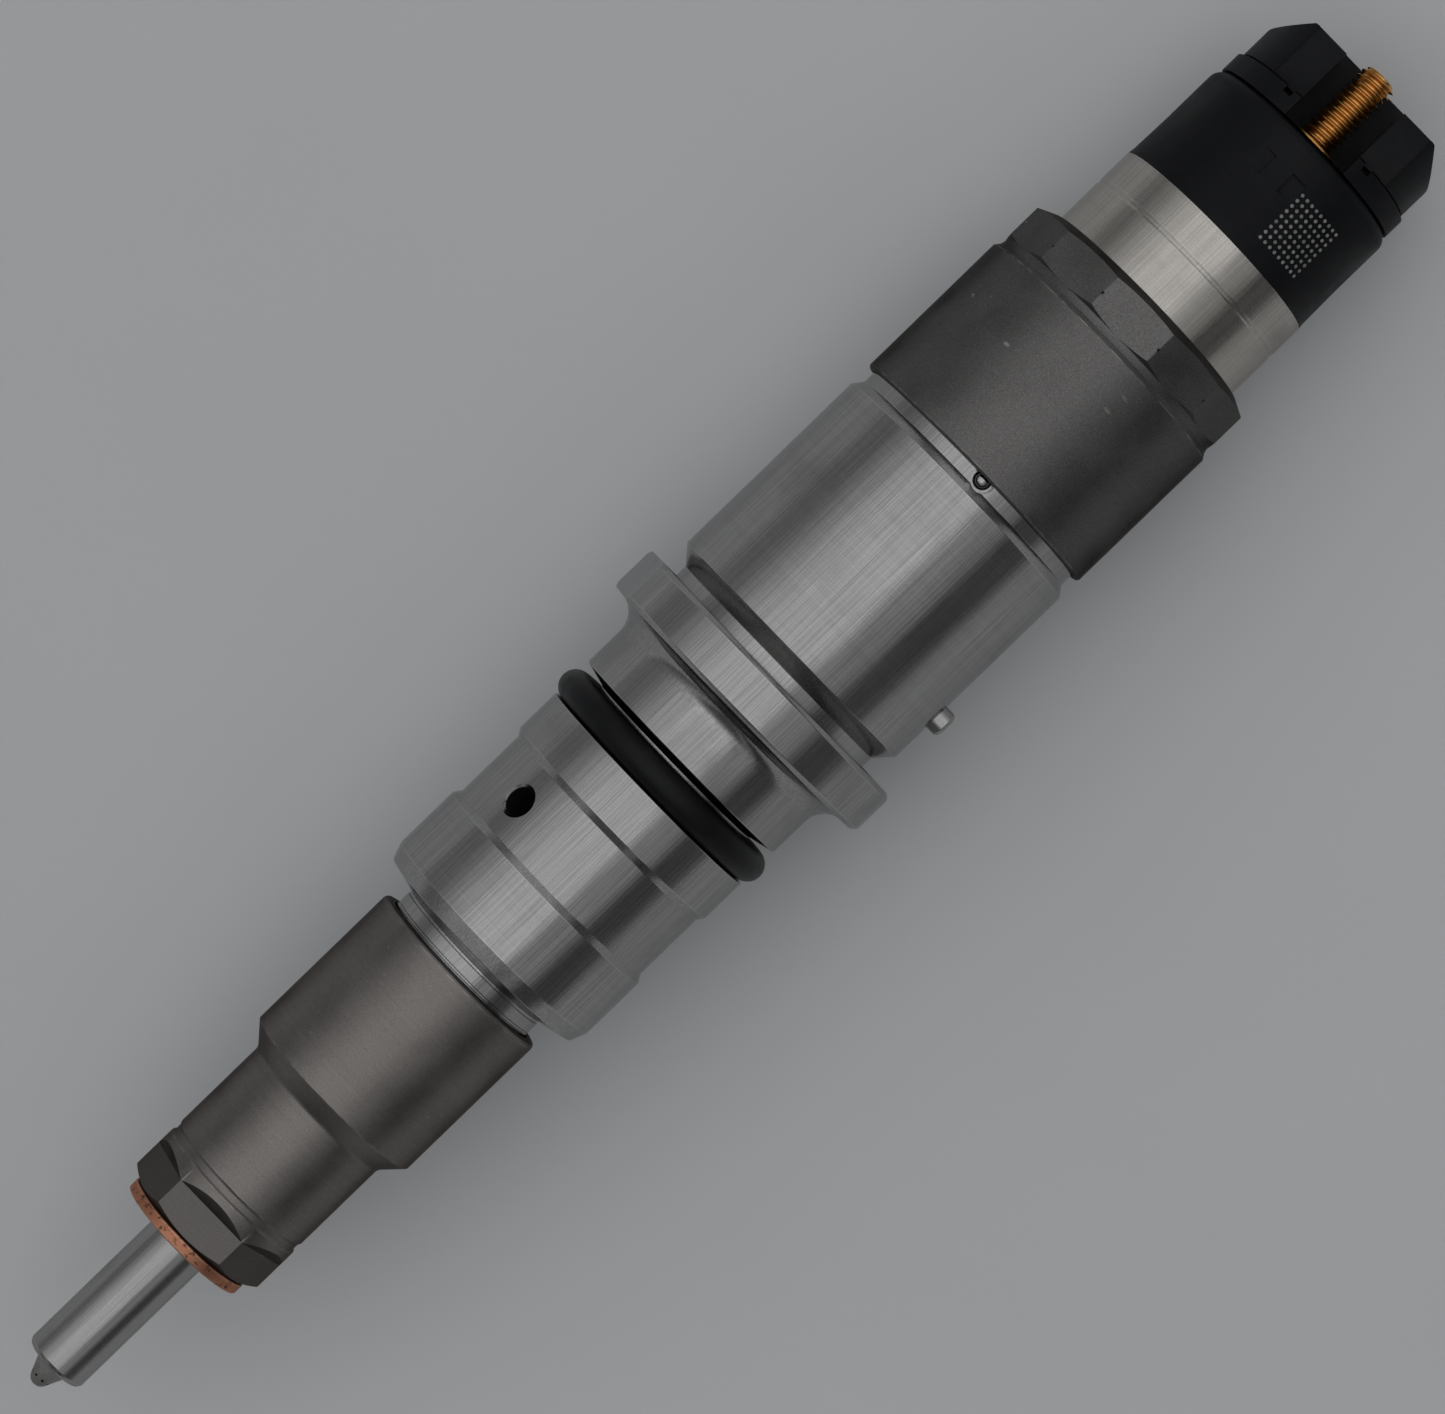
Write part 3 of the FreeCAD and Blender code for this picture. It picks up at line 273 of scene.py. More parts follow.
def machine_marks():
    """Marks of turning and grinding on a piece about the X axis: rings round it, fine streaks along
    it, and slow blotches where the finish varies."""
    group, takes, gives = node_group("machine marks", {"Ring Size": 0.12, "Streak Size": 0.12},
                                     ["Rings", "Streaks", "Blotches", "Specks"])
    tree = group
    place = tree.nodes.new("ShaderNodeTexCoord").outputs["Object"]
    split = tree.nodes.new("ShaderNodeSeparateXYZ")
    tree.links.new(place, split.inputs[0])
    radius = tree.nodes.new("ShaderNodeVectorMath")
    radius.operation = "LENGTH"
    flat = stretched(tree, place, (0, 1, 1))
    tree.links.new(flat, radius.inputs[0])
    ring_place = tree.nodes.new("ShaderNodeCombineXYZ")
    tree.links.new(split.outputs["X"], ring_place.inputs["X"])
    tree.links.new(radius.outputs["Value"], ring_place.inputs["Y"])
    ring_scale = sums(tree, "DIVIDE", 1 / mm, takes.outputs["Ring Size"])
    streak_scale = sums(tree, "DIVIDE", 1 / mm, takes.outputs["Streak Size"])
    rings = tree.nodes.new("ShaderNodeTexNoise")
    tree.links.new(ring_place.outputs[0], rings.inputs["Vector"])
    tree.links.new(ring_scale, rings.inputs["Scale"])
    streaks = tree.nodes.new("ShaderNodeTexNoise")
    tree.links.new(stretched(tree, place, (0.012, 1, 1)), streaks.inputs["Vector"])
    tree.links.new(streak_scale, streaks.inputs["Scale"])
    for node in (rings, streaks):
        node.inputs["Detail"].default_value = 3.0
        node.inputs["Roughness"].default_value = 0.65
    tree.links.new(rings.outputs["Fac"], gives.inputs["Rings"])
    tree.links.new(streaks.outputs["Fac"], gives.inputs["Streaks"])
    tree.links.new(noise(tree, place, 120, 4), gives.inputs["Blotches"])
    tree.links.new(noise(tree, place, 5200, 2, 0.7), gives.inputs["Specks"])
    return group


marks = machine_marks()


def finish(name, metallic, roughness, **constants):
    """A material with one Principled shader. Constants are set on the shader's own sockets."""
    material = bpy.data.materials.new(name)
    material.use_nodes = True
    shader = material.node_tree.nodes["Principled BSDF"]
    shader.inputs["Metallic"].default_value = metallic
    shader.inputs["Roughness"].default_value = roughness
    for title, value in constants.items():
        shader.inputs[title.replace("_", " ").title().replace("Ior", "IOR")].default_value = value
    return material, material.node_tree, shader


def placed(tree, group, **settings):
    """Puts a shared group in a material, with its own values."""
    node = tree.nodes.new("ShaderNodeGroup")
    node.node_tree = group
    for title, value in settings.items():
        node.inputs[title.replace("_", " ").title()].default_value = value
    return node


def bumped(tree, shader, height, depth):
    """A Bump node of a depth in millimetres from a height to a shader's normal."""
    node = tree.nodes.new("ShaderNodeBump")
    node.inputs["Strength"].default_value = 1.0
    node.inputs["Distance"].default_value = depth * mm
    tree.links.new(height, node.inputs["Height"])
    tree.links.new(node.outputs["Normal"], shader.inputs["Normal"])


def worn_mask(tree):
    """The faces that easing made, as a mask."""
    node = tree.nodes.new("ShaderNodeAttribute")
    node.attribute_name = "worn"
    return node.outputs["Fac"]


def machined_steel(name, colour, dull, roughness, ring_depth, streak_depth, ring_size, streak_size, patchy):
    """Bare machined steel. Streaks and rings lift and sink the surface, change its gloss a little and
    tint it; broken edges are brighter; blotches carry the oil and handling marks."""
    material, tree, shader = finish(name, 1.0, roughness, specular_tint=(0.7, 0.7, 0.7, 1))
    cut = placed(tree, marks, ring_size=ring_size, streak_size=streak_size)
    rings, streaks = cut.outputs["Rings"], cut.outputs["Streaks"]
    blotches, specks = cut.outputs["Blotches"], cut.outputs["Specks"]
    lines = sums(tree, "ADD", sums(tree, "MULTIPLY", rings, 0.27), sums(tree, "MULTIPLY", streaks, 0.73))
    tone = between(tree, lines, 0.30, 0.70)
    base = mixed(tree, tone, dull, colour)
    stain = between(tree, blotches, 0.52, 0.75, 0.0, patchy)
    base = mixed(tree, stain, base, tuple(c * 0.72 for c in dull))
    base = mixed(tree, sums(tree, "MULTIPLY", worn_mask(tree), 0.4), base, (0.58, 0.57, 0.56))
    tree.links.new(base, shader.inputs["Base Color"])
    gloss = sums(tree, "ADD", between(tree, specks, 0.35, 0.7, -0.03, 0.05), roughness)
    gloss = sums(tree, "ADD", gloss, between(tree, blotches, 0.35, 0.7, -0.02, 0.06))
    tree.links.new(gloss, shader.inputs["Roughness"])
    ring_height = sums(tree, "MULTIPLY", rings, ring_depth)
    height = sums(tree, "ADD", ring_height, sums(tree, "MULTIPLY", streaks, streak_depth))
    bumped(tree, shader, height, 1.0)
    return material


ground_steel = machined_steel(
    "ground steel", (0.48, 0.475, 0.47), (0.30, 0.295, 0.29), 0.13, 0.0006, 0.0085, 0.10, 0.16, 0.35
)

body_start, body_end = along("injector_body")
nut_end = along("nozzle_nut")[1]
flange_r = radius_of("injector_body")
spring_end = along("nozzle_spring_shim")[1]
guide_end = along("armature_guide")[0] + 1.8  # top of the guide's flange, where the clamp screw sits
lands = dict(neck=9.2, shoulder=12.75, lower=13.35, returns=12.8, upper=13.3, seal=10.6, relief=13.35,
             barrel=14.95, top_neck=14.15, thread=13.5)
flange_start = 76.8
flange_end = 81.9
fillet_r = 2.7

root_fillet = [
    (flange_start - fillet_r + fillet_r * math.sin(turn), lands["upper"] + fillet_r * (1 - math.cos(turn)))
    for turn in [math.radians(15 * n) for n in range(7)]
]
body_outline = [
    (body_start, 4.6),
    (body_start, 7.1),
    (26.0, 7.1),
    (26.0, 8.75),
    (nut_end - 1.45, 8.75),
    (nut_end - 1.45, lands["neck"]),
    (nut_end + 0.15, lands["neck"]),
    (nut_end + 0.25, lands["neck"] - 0.12),
    (nut_end + 0.42, lands["neck"] - 0.12),
    (nut_end + 0.52, lands["neck"]),
    (nut_end + 1.68, lands["neck"]),
    (nut_end + 1.78, lands["neck"] - 0.1),
    (nut_end + 2.05, lands["neck"] - 0.1),
    (nut_end + 2.15, lands["neck"] + 0.35),
    (41.97, lands["shoulder"]),
    (43.65, lands["lower"]),
    (50.8, lands["lower"]),
    (51.6, lands["returns"]),
    (59.4, lands["returns"]),
    (60.2, lands["upper"]),
    (65.05, lands["upper"]),
    (65.2, lands["upper"] - 0.15),
    (65.2, lands["seal"]),
    (69.0, lands["seal"]),
    (69.6, lands["upper"] - 0.15),
    (69.75, lands["upper"]),
    *root_fillet,
    (flange_start, flange_r - 0.5),
    (flange_start + 0.5, flange_r),
    (flange_end - 0.5, flange_r),
    (flange_end, flange_r - 0.5),
    (flange_end, lands["barrel"] + 0.1),
    (flange_end - 0.2, lands["barrel"] + 0.1),
    (flange_end - 0.2, lands["relief"]),
    (flange_end + 1.35, lands["relief"]),
    (84.9, lands["barrel"] - 0.15),
    (85.05, lands["barrel"]),
    (107.85, lands["barrel"]),
    (108.0, lands["barrel"] - 0.15),
    (108.9, lands["top_neck"]),
    (111.3, lands["top_neck"]),
    (111.3, lands["thread"]),
    (body_end, lands["thread"]),
    (body_end, 10.9),
    (body_end - 5.1, 10.9),
    (body_end - 5.1, 9.8),
    (108.6, 9.8),
    (108.6, 9.02),
    (guide_end - 0.2, 9.02),
    (guide_end - 0.2, 7.45),
    (98.0, 7.45),
    (98.0, 5.45),
    (90.0, 5.45),
    (90.0, 4.45),
    (84.0, 4.45),
    (84.0, 2.4),
    (spring_end, 2.4),
    (spring_end, 4.6),
]
# Dark steel lining for the drilled holes: painted shade inside the bores, far darker than the steel they are
# cut in.
painted_shade_bore_steel = machined_steel(
    "bore steel with painted shade", (0.10, 0.098, 0.095), (0.06, 0.059, 0.057), 0.5, 0.001, 0.001, 0.2, 0.2, 0.5
)
body = shown("body", eased(turned(body_outline), 0.07), ground_steel, painted_shade_bore_steel)

# fuel inlet cone with its cross drilling, return port, plugged hole, pin hole and the flange's flat
inlet_place, inlet_clock = 48.85, -107.5
return_place, return_clock = 55.5, 38.8
plug_clock = -4.8
pin_place, pin_clock = (sum(along("locating_pin")) / 2), -95.0
plug_place = sum(along("leak_plug_ball")) / 2
flat_clock, flat_depth = 80.0, 1.4

inlet = bar(at(inlet_place, 14.35, inlet_clock), at(inlet_place, 7.72, inlet_clock), 5.327, 1.5, 96)
inlet_drilling = bar(at(inlet_place, 8.2, inlet_clock), at(inlet_place, 6.9, inlet_clock), 1.5)
return_port = bar(at(return_place, 14.0, return_clock), at(return_place, 8.0, return_clock), 1.65, None, 64)
return_chamfer = bar(
    at(return_place, 13.0, return_clock), at(return_place, 12.35, return_clock), 2.02, 1.6, 64
)
plug_hole = bar(at(plug_place, 15.2, plug_clock), at(plug_place, 12.9, plug_clock), 1.3, None, 64)
plug_bore = bar(at(plug_place, 13.2, plug_clock), at(plug_place, 9.3, plug_clock), 1.0)
pin_hole = bar(at(pin_place, 16.0, pin_clock), at(pin_place, 11.45, pin_clock), 1.45)
flat = block((flange_start - 1, -20, flange_r - flat_depth), (flange_end + 1, 20, 20))
bmesh.ops.rotate(
    flat, verts=flat.verts, cent=(0, 0, 0), matrix=Matrix.Rotation(math.radians(-flat_clock), 3, "X")
)
worked(body, "DIFFERENCE", return_chamfer, flat, plug_hole)
# These drillings take the dark lining: painted shade in the inlet cone, cross drilling, return port, plug
# bore and pin hole.
worked(body, "DIFFERENCE", inlet, inlet_drilling, return_port, plug_bore, pin_hole, lining=1)
evened(body)
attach(body, "injector")
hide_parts("injector_body")

# ---- Nozzle ----
# Hardened steel, ground on its shank and collar. The tip is a blunt cone that ends in a small dome,
# with eight spray holes. Combustion heat leaves the tip scaled and dull.

nozzle_steel = machined_steel(
    "nozzle steel", (0.42, 0.415, 0.405), (0.34, 0.335, 0.325), 0.21, 0.0010, 0.0040, 0.09, 0.14, 0.5
)
scaled_tip = machined_steel(
    "heat-scaled steel", (0.46, 0.45, 0.43), (0.30, 0.292, 0.28), 0.5, 0.002, 0.002, 0.10, 0.14, 0.6
)
tip, nozzle_top = along("nozzle_body")
shank_r, collar_r = 3.5, radius_of("nozzle_body")
shoulder = -18.05
dome_r, tip_base_r = 1.1, 1.95
cone_half = math.radians(29)
dome = [
    (tip + dome_r * (1 - math.cos(turn)), dome_r * math.sin(turn))
    for turn in [(math.pi / 2 - cone_half) * n / 6 for n in range(7)]
]
nozzle = shown("nozzle", eased(turned([
    *dome,
    (shoulder - 0.12, tip_base_r - 0.06),
    (shoulder, tip_base_r),
    (shoulder, shank_r - 0.6),
    (shoulder + 0.18, shank_r - 0.25),
    (shoulder + 0.6, shank_r),
    (0, shank_r),
    (0, shank_r - 0.2),
    (5.2, shank_r - 0.2),
    (5.2, collar_r),
    (nozzle_top, collar_r),
    (nozzle_top, 2.02),
    (12.5, 2.02),
    (11.5, 3.0),
    (9.8, 3.0),
    (8.5, 1.75),
    (tip + 3.7, 1.75),
    (tip + 1.5, 0.5),
    (tip + 1.1, 0.5),
    (tip + 1.1, 0),
], 128), 0.05), nozzle_steel, painted_shade_bore_steel, scaled_tip)
for face in nozzle.data.polygons:
    if face.center.x < (shoulder - 0.01) * mm:
        face.material_index = 2
# The spray holes take the dark lining, painted shade that shows them as dark dots on the tip.
for n in range(8):
    clock = 45 * n + 22.5
    spray = bar(at(tip + 1.3, 0.2, clock), at(tip + 0.55, 2.65, clock), 0.15, None, 16)
    worked(nozzle, "DIFFERENCE", spray, lining=1)
evened(nozzle)
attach(nozzle, "injector")
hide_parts("nozzle_body")

# ---- Copper washer ----
# A soft copper ring, stamped from sheet. Its faces are flat, its rim is slightly rounded and carries
# small nicks and dark spots from handling.


def annealed_copper():
    material, tree, shader = finish("annealed copper", 1.0, 0.36, specular_tint=(0.6, 0.6, 0.6, 1))
    cut = placed(tree, marks, ring_size=0.3, streak_size=0.25)
    base = mixed(tree, between(tree, cut.outputs["Rings"], 0.3, 0.7), (0.46, 0.19, 0.11), (0.66, 0.32, 0.20))
    place = tree.nodes.new("ShaderNodeTexCoord").outputs["Object"]
    spots = between(tree, noise(tree, place, 1500, 3, 0.6), 0.54, 0.66)
    base = mixed(tree, spots, base, (0.16, 0.075, 0.05))
    base = mixed(tree, sums(tree, "MULTIPLY", worn_mask(tree), 0.35), base, (0.62, 0.38, 0.28))
    tree.links.new(base, shader.inputs["Base Color"])
    tree.links.new(between(tree, cut.outputs["Blotches"], 0.3, 0.7, 0.38, 0.54), shader.inputs["Roughness"])
    height = sums(tree, "ADD", sums(tree, "MULTIPLY", noise(tree, place, 1400, 2), 0.012),
                  sums(tree, "MULTIPLY", spots, -0.02))
    bumped(tree, shader, height, 1.0)
    return material


copper = annealed_copper()
washer_start, washer_end = along("sealing_washer")
washer_r = radius_of("sealing_washer")
washer = shown("copper_washer", eased(turned([
    (washer_start, 3.65), (washer_start, washer_r), (washer_end, washer_r), (washer_end, 3.65)
], 160), 0.16), copper)
evened(washer)
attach(washer, "injector")
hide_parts("sealing_washer")

# ---- Nozzle nut ----
# A stepped cap nut that pulls the nozzle against the holder. Turned steel with a dark phosphate coat
# of fine even grain. The six flats are milled with a round cutter, which runs out at 45 degrees; they
# take a darker copy of the coat, which is painted shade.


def coat_grain():
    """The crystals of a phosphate coat, the soft clouds in it, and a few fine scratches."""
    group, takes, gives = node_group("coat grain", {"Grain Size": 0.09, "Scratches": 0.3},
                                     ["Grain", "Clouds", "Scratches"])
    tree = group
    place = tree.nodes.new("ShaderNodeTexCoord").outputs["Object"]
    grain_scale = sums(tree, "DIVIDE", 1 / mm, takes.outputs["Grain Size"])
    grain = tree.nodes.new("ShaderNodeTexNoise")
    grain.inputs["Detail"].default_value = 2.0
    grain.inputs["Roughness"].default_value = 0.6
    tree.links.new(place, grain.inputs["Vector"])
    tree.links.new(grain_scale, grain.inputs["Scale"])
    tree.links.new(grain.outputs["Fac"], gives.inputs["Grain"])
    tree.links.new(noise(tree, place, 210, 3, 0.55), gives.inputs["Clouds"])
    turn = tree.nodes.new("ShaderNodeMapping")
    turn.inputs["Rotation"].default_value = (0.4, 0.9, 0.7)
    turn.inputs["Scale"].default_value = (1, 0.05, 1)
    tree.links.new(place, turn.inputs["Vector"])
    hair = noise(tree, turn.outputs["Vector"], 1500, 1)
    rare = between(tree, noise(tree, place, 95, 1), 0.60, 0.68)
    line = sums(tree, "MULTIPLY", between(tree, hair, 0.70, 0.76), rare)
    tree.links.new(sums(tree, "MULTIPLY", line, takes.outputs["Scratches"]), gives.inputs["Scratches"])
    return group


grain = coat_grain()


def phosphated(name, dark, light, roughness, grain_size, scratches, rings):
    """Phosphated steel: a dark semi-metal surface with crystal grain, worn lighter on its edges."""
    material, tree, shader = finish(name, 0.95, roughness, specular_tint=(0.2, 0.2, 0.2, 1))
    coat = placed(tree, grain, grain_size=grain_size, scratches=scratches)
    cut = placed(tree, marks, ring_size=0.28, streak_size=0.4)
    fine = sums(tree, "ADD", sums(tree, "MULTIPLY", coat.outputs["Grain"], 1 - rings),
                sums(tree, "MULTIPLY", cut.outputs["Rings"], rings))
    clouds = sums(tree, "MULTIPLY", coat.outputs["Clouds"], 0.25)
    fine = sums(tree, "ADD", sums(tree, "MULTIPLY", fine, 0.75), clouds)
    base = mixed(tree, between(tree, fine, 0.32, 0.68), dark, light)
    base = mixed(tree, coat.outputs["Scratches"], base, (0.42, 0.40, 0.38))
    place = tree.nodes.new("ShaderNodeTexCoord").outputs["Object"]
    patchy = between(tree, noise(tree, place, 700, 3), 0.40, 0.62)
    rub = sums(tree, "MULTIPLY", sums(tree, "MULTIPLY", worn_mask(tree), patchy), 0.55)
    base = mixed(tree, rub, base, (0.37, 0.355, 0.335))
    tree.links.new(base, shader.inputs["Base Color"])
    tree.links.new(between(tree, coat.outputs["Clouds"], 0.3, 0.7, roughness - 0.04, roughness + 0.05),
                   shader.inputs["Roughness"])
    height = sums(tree, "ADD", sums(tree, "MULTIPLY", coat.outputs["Grain"], 0.010),
                  sums(tree, "MULTIPLY", cut.outputs["Rings"], 0.008 * rings))
    bumped(tree, shader, height, 1.0)
    return material


warm_phosphate = phosphated(
    "warm phosphate", (0.172, 0.159, 0.149), (0.278, 0.257, 0.242), 0.35, 0.10, 0.25, 0.20
)
# A darker copy of the same coat for the flats: painted shade on them.
flats_painted_shade_phosphate = phosphated(
    "flats phosphate with painted shade", (0.115, 0.106, 0.10), (0.175, 0.163, 0.153), 0.37, 0.10, 0.3, 0.20
)
foot, nut_top = along("nozzle_nut")
barrel_r, upper_r = 8.6, radius_of("nozzle_nut")
corner_r = 7.5 / math.cos(math.radians(30))
flats_end = foot + 4.0
step = foot + 17.95
nozzle_nut = shown("nozzle_nut", eased(turned([
    (foot, 3.65),
    (foot, corner_r - 1.62),
    (foot + 0.9, corner_r),
    (flats_end + 1.95, corner_r),
    (flats_end + 2.2, barrel_r - 0.17),
    (flats_end + 2.85, barrel_r - 0.17),
    (flats_end + 3.15, barrel_r),
    (step - 0.42, barrel_r),
    (step - 0.12, barrel_r + 0.06),
    (step + 0.16, barrel_r + 0.22),
    (step + 2.1, upper_r),
    (nut_top - 0.45, upper_r),
    (nut_top - 0.12, upper_r - 0.14),
    (nut_top, upper_r - 0.45),
    (nut_top, 9.42),
    (nut_top - 1.45, 9.42),
    (nut_top - 1.45, 8.77),
    (26.0, 8.77),
    (26.0, 7.2),
    (5.2, 7.2),
    (5.2, 3.65),
])), warm_phosphate, flats_painted_shade_phosphate)
for n in range(6):
    cutter = bmesh.new()
    side = [
        cutter.verts.new(Vector((x, -9, z)) * mm)
        for x, z in ((foot - 1, 7.5), (flats_end, 7.5), (flats_end + 2, 9.5), (foot - 1, 9.5))
    ]
    face = cutter.faces.new(side)
    swept = bmesh.ops.extrude_face_region(cutter, geom=[face])
    bmesh.ops.translate(
        cutter, verts=[v for v in swept["geom"] if isinstance(v, bmesh.types.BMVert)], vec=(0, 18 * mm, 0)
    )
    bmesh.ops.rotate(
        cutter, verts=cutter.verts, cent=(0, 0, 0), matrix=Matrix.Rotation(math.radians(60 * n), 3, "X")
    )
    bmesh.ops.recalc_face_normals(cutter, faces=cutter.faces)
    # Each cut flat takes the darker copy of the coat, painted shade.
    worked(nozzle_nut, "DIFFERENCE", cutter, lining=1)
evened(nozzle_nut)
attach(nozzle_nut, "injector")
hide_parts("nozzle_nut")

# ---- Sealing ring on the body ----
# A moulded rubber ring, black and satin, with the faint flash line of its mould round the outside.


def satin_rubber():
    material, tree, shader = finish("satin rubber", 0.0, 0.5, specular_ior_level=0.24)
    place = tree.nodes.new("ShaderNodeTexCoord").outputs["Object"]
    dust = between(tree, noise(tree, place, 420, 4, 0.65), 0.48, 0.78)
    base = mixed(tree, dust, (0.0032, 0.0034, 0.0042), (0.0085, 0.0087, 0.0095))
    tree.links.new(base, shader.inputs["Base Color"])
    tree.links.new(between(tree, dust, 0, 1, 0.46, 0.62), shader.inputs["Roughness"])
    bumped(tree, shader, noise(tree, place, 2600, 3), 0.012)
    return material


rubber = satin_rubber()


def moulded_ring(name, node, cord_r, flash):
    """A ring of round section with a thin raised flash line at its widest."""
    low, high = along(node)
    middle, centre_r = (low + high) / 2, radius_of(node) - cord_r
    section = [
        (middle + cord_r * math.sin(turn), centre_r + cord_r * math.cos(turn))
        for turn in [math.tau * (n + 0.5) / 40 for n in range(40)]
    ]
    section.append((middle, centre_r + cord_r))
    section[-1:] = [(middle + flash, radius_of(node) - 0.003), (middle - flash, radius_of(node) - 0.003)]
    order = sorted(section, key=lambda p: math.atan2(p[0] - middle, p[1] - centre_r))
    ring = shown(name, turned(order, 160), rubber)
    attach(ring, "injector")
    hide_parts(node)


moulded_ring("body_ring", "body_o_ring", 1.75, 0.05)
moulded_ring("solenoid_ring", "solenoid_o_ring", 0.47, 0.02)

# ---- Locating pin ----
# A hardened dowel pressed into the barrel, with a turned cone on its free end.

pin_r, pin_out, pin_cone = 1.45, 16.45, 0.35
pin = bmesh.new()
pin_outline = [
    (0, 0), (0, pin_r), (5.0 - pin_cone, pin_r), (5.0 - 0.12, pin_r - 0.2), (5.0, pin_r - 0.42), (5.0, 0)
]
pin = eased(turned(pin_outline, 64), 0.06)
turn = Matrix.Rotation(math.radians(90 - pin_clock), 3, "X") @ Matrix.Rotation(math.radians(90), 3, "Z")
bmesh.ops.rotate(pin, verts=pin.verts, cent=(0, 0, 0), matrix=turn)
bmesh.ops.translate(pin, verts=pin.verts, vec=at(pin_place, pin_out - 5.0, pin_clock))
locating_pin = evened(shown("locating_pin", pin, nozzle_steel))
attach(locating_pin, "injector")
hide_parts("locating_pin")

# ---- Plug ball ----
# A polished bearing ball, pressed into the cross drilling to close it. Its upper edge sits just under
# the union nut.


def polished_ball():
    material, tree, shader = finish("polished ball", 1.0, 0.08)
    place = tree.nodes.new("ShaderNodeTexCoord").outputs["Object"]
    film = between(tree, noise(tree, place, 800, 3), 0.35, 0.7)
    tree.links.new(mixed(tree, film, (0.46, 0.455, 0.45), (0.31, 0.305, 0.30)), shader.inputs["Base Color"])
    tree.links.new(between(tree, film, 0, 1, 0.06, 0.18), shader.inputs["Roughness"])
    return material


ball_steel = polished_ball()


def ball(name, node, body_name):
    low, high = (Vector(v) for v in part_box(node))
    mesh = bmesh.new()
    bmesh.ops.create_uvsphere(
        mesh, u_segments=48, v_segments=24, radius=(high.x - low.x) / 2,
        matrix=Matrix.Translation((low + high) / 2),
    )
    sphere = shown(name, mesh, ball_steel)
    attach(sphere, body_name)
    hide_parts(node)


ball("plug_ball", "leak_plug_ball", "injector")
ball("seat_ball", "valve_ball", "ball")

# ---- Union nut ----
# It clamps the solenoid on the holder. Turned steel, phosphated nearly black, with a band of twelve
# wrench flats; the chamfers of its band leave curved ends on the flats, and each corner has a nick.

cold_phosphate = phosphated(
    "cold phosphate", (0.112, 0.107, 0.104), (0.196, 0.189, 0.183), 0.38, 0.13, 0.75, 0.10
)
union_start, union_end = along("solenoid_nut")
union_r, union_flat = 15.0, 14.5
band = union_end - 5.7
union_nut = shown("union_nut", eased(turned([
    (union_start, 14.2),
    (union_start, union_r - 0.25),
    (union_start + 0.25, union_r),
    (band - 0.75, union_r),
    (band - 0.2, union_r - 0.4),
    (band + 0.35, union_r - 0.55),
    (band + 0.6, union_r - 0.5),
    (band + 1.1, union_r + 0.1),
    (union_end - 1.1, union_r + 0.1),
    (union_end, union_r - 2.1),
    (union_end, 12.3),
    (121.5, 12.3),
    (121.5, 13.52),
    (111.4, 13.52),
    (111.4, 14.2),
]), 0.08), cold_phosphate)
keep = bmesh.new()
bmesh.ops.create_cone(
    keep, cap_ends=True, segments=12, radius1=union_flat / math.cos(math.radians(15)) * mm,
    radius2=union_flat / math.cos(math.radians(15)) * mm, depth=(union_end + 1 - band) * mm,
    matrix=Matrix.Translation(((band + union_end + 1) / 2 * mm, 0, 0))
    @ Matrix.Rotation(math.radians(90), 4, "Y") @ Matrix.Rotation(math.radians(15), 4, "Z"),
)
long_edges = [e for e in keep.edges if abs(e.verts[0].co.x - e.verts[1].co.x) > mm]
bmesh.ops.bevel(
    keep, geom=long_edges, offset=0.09 * mm, offset_type="OFFSET", segments=3, profile=0.5, affect="EDGES",
    material=-1, clamp_overlap=False,
)
unworn(keep)
sleeve = turned([
    (union_start - 1, 0), (union_start - 1, union_r + 1), (band + 0.3, union_r + 1), (band + 0.3, 0)
], 96)
kept = worked(shown("keep", keep, cold_phosphate), "UNION", sleeve)
tool = bmesh.new()
tool.from_mesh(kept.data)
bpy.data.objects.remove(kept)
worked(union_nut, "INTERSECT", tool)
for n in range(12):
    clock = 15 + 30 * n
    worked(union_nut, "DIFFERENCE", bar(at(130.95, 14.72, clock), at(130.95, 16, clock), 0.05, 0.62, 12))
evened(union_nut)
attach(union_nut, "injector")
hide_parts("solenoid_nut")

# ---- Solenoid housing ----
# A thin steel sleeve round the magnet, fine turned and left bare, warmer and brighter than the body.
# One shallow score line runs round it between the union nut and the cap.

housing_steel = machined_steel(
    "housing steel", (0.58, 0.55, 0.505), (0.425, 0.40, 0.37), 0.17, 0.0016, 0.0060, 0.16, 0.2, 0.5
)
housing_start, housing_end = along("solenoid_housing")
cap_foot = 143.65
housing_r, score = 12.25, 139.6
housing = evened(shown("solenoid_housing", eased(turned([
    (housing_start, 9.45),
    (housing_start, 10.85),
    (116.0, 10.85),
    (116.0, 9.92),
    (117.5, 9.92),
    (117.5, 10.85),
    (119.0, 10.85),
    (119.0, 13.2),
    (121.5, 13.2),
    (121.5, housing_r),
    (score - 0.35, housing_r),
    (score - 0.1, housing_r - 0.11),
    (score + 0.1, housing_r - 0.11),
    (score + 0.35, housing_r),
    (cap_foot, housing_r),
    (cap_foot, 11.3),
    (housing_end, 11.3),
    (housing_end, 10.6),
    (130.5, 10.6),
    (130.5, 9.45),
]), 0.06), housing_steel))
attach(housing, "injector")
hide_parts("solenoid_housing")

# ---- Connector cap ----
# Black glass-filled plastic, moulded over the studs. A round skirt carries a disc and two walls that
# keep the cable eyes apart, with a partition between the studs. Mould marks: a flash line down the
# skirt and two shallow pockets beside it. A plain lattice of pale dots fills its marking field.

skirt_r, disc_r, tower_r = 12.05, 11.65, 11.25
disc_foot, disc_top = 156.15, 158.35
cap_start = along("core_end_plug")[1]
cap_end = along("connector_cap")[1]
tower_top = cap_end - 0.8
bay, panel, panel_edge, partition = 4.075, 7.7, 7.9, 1.5
flash_y = 0.45


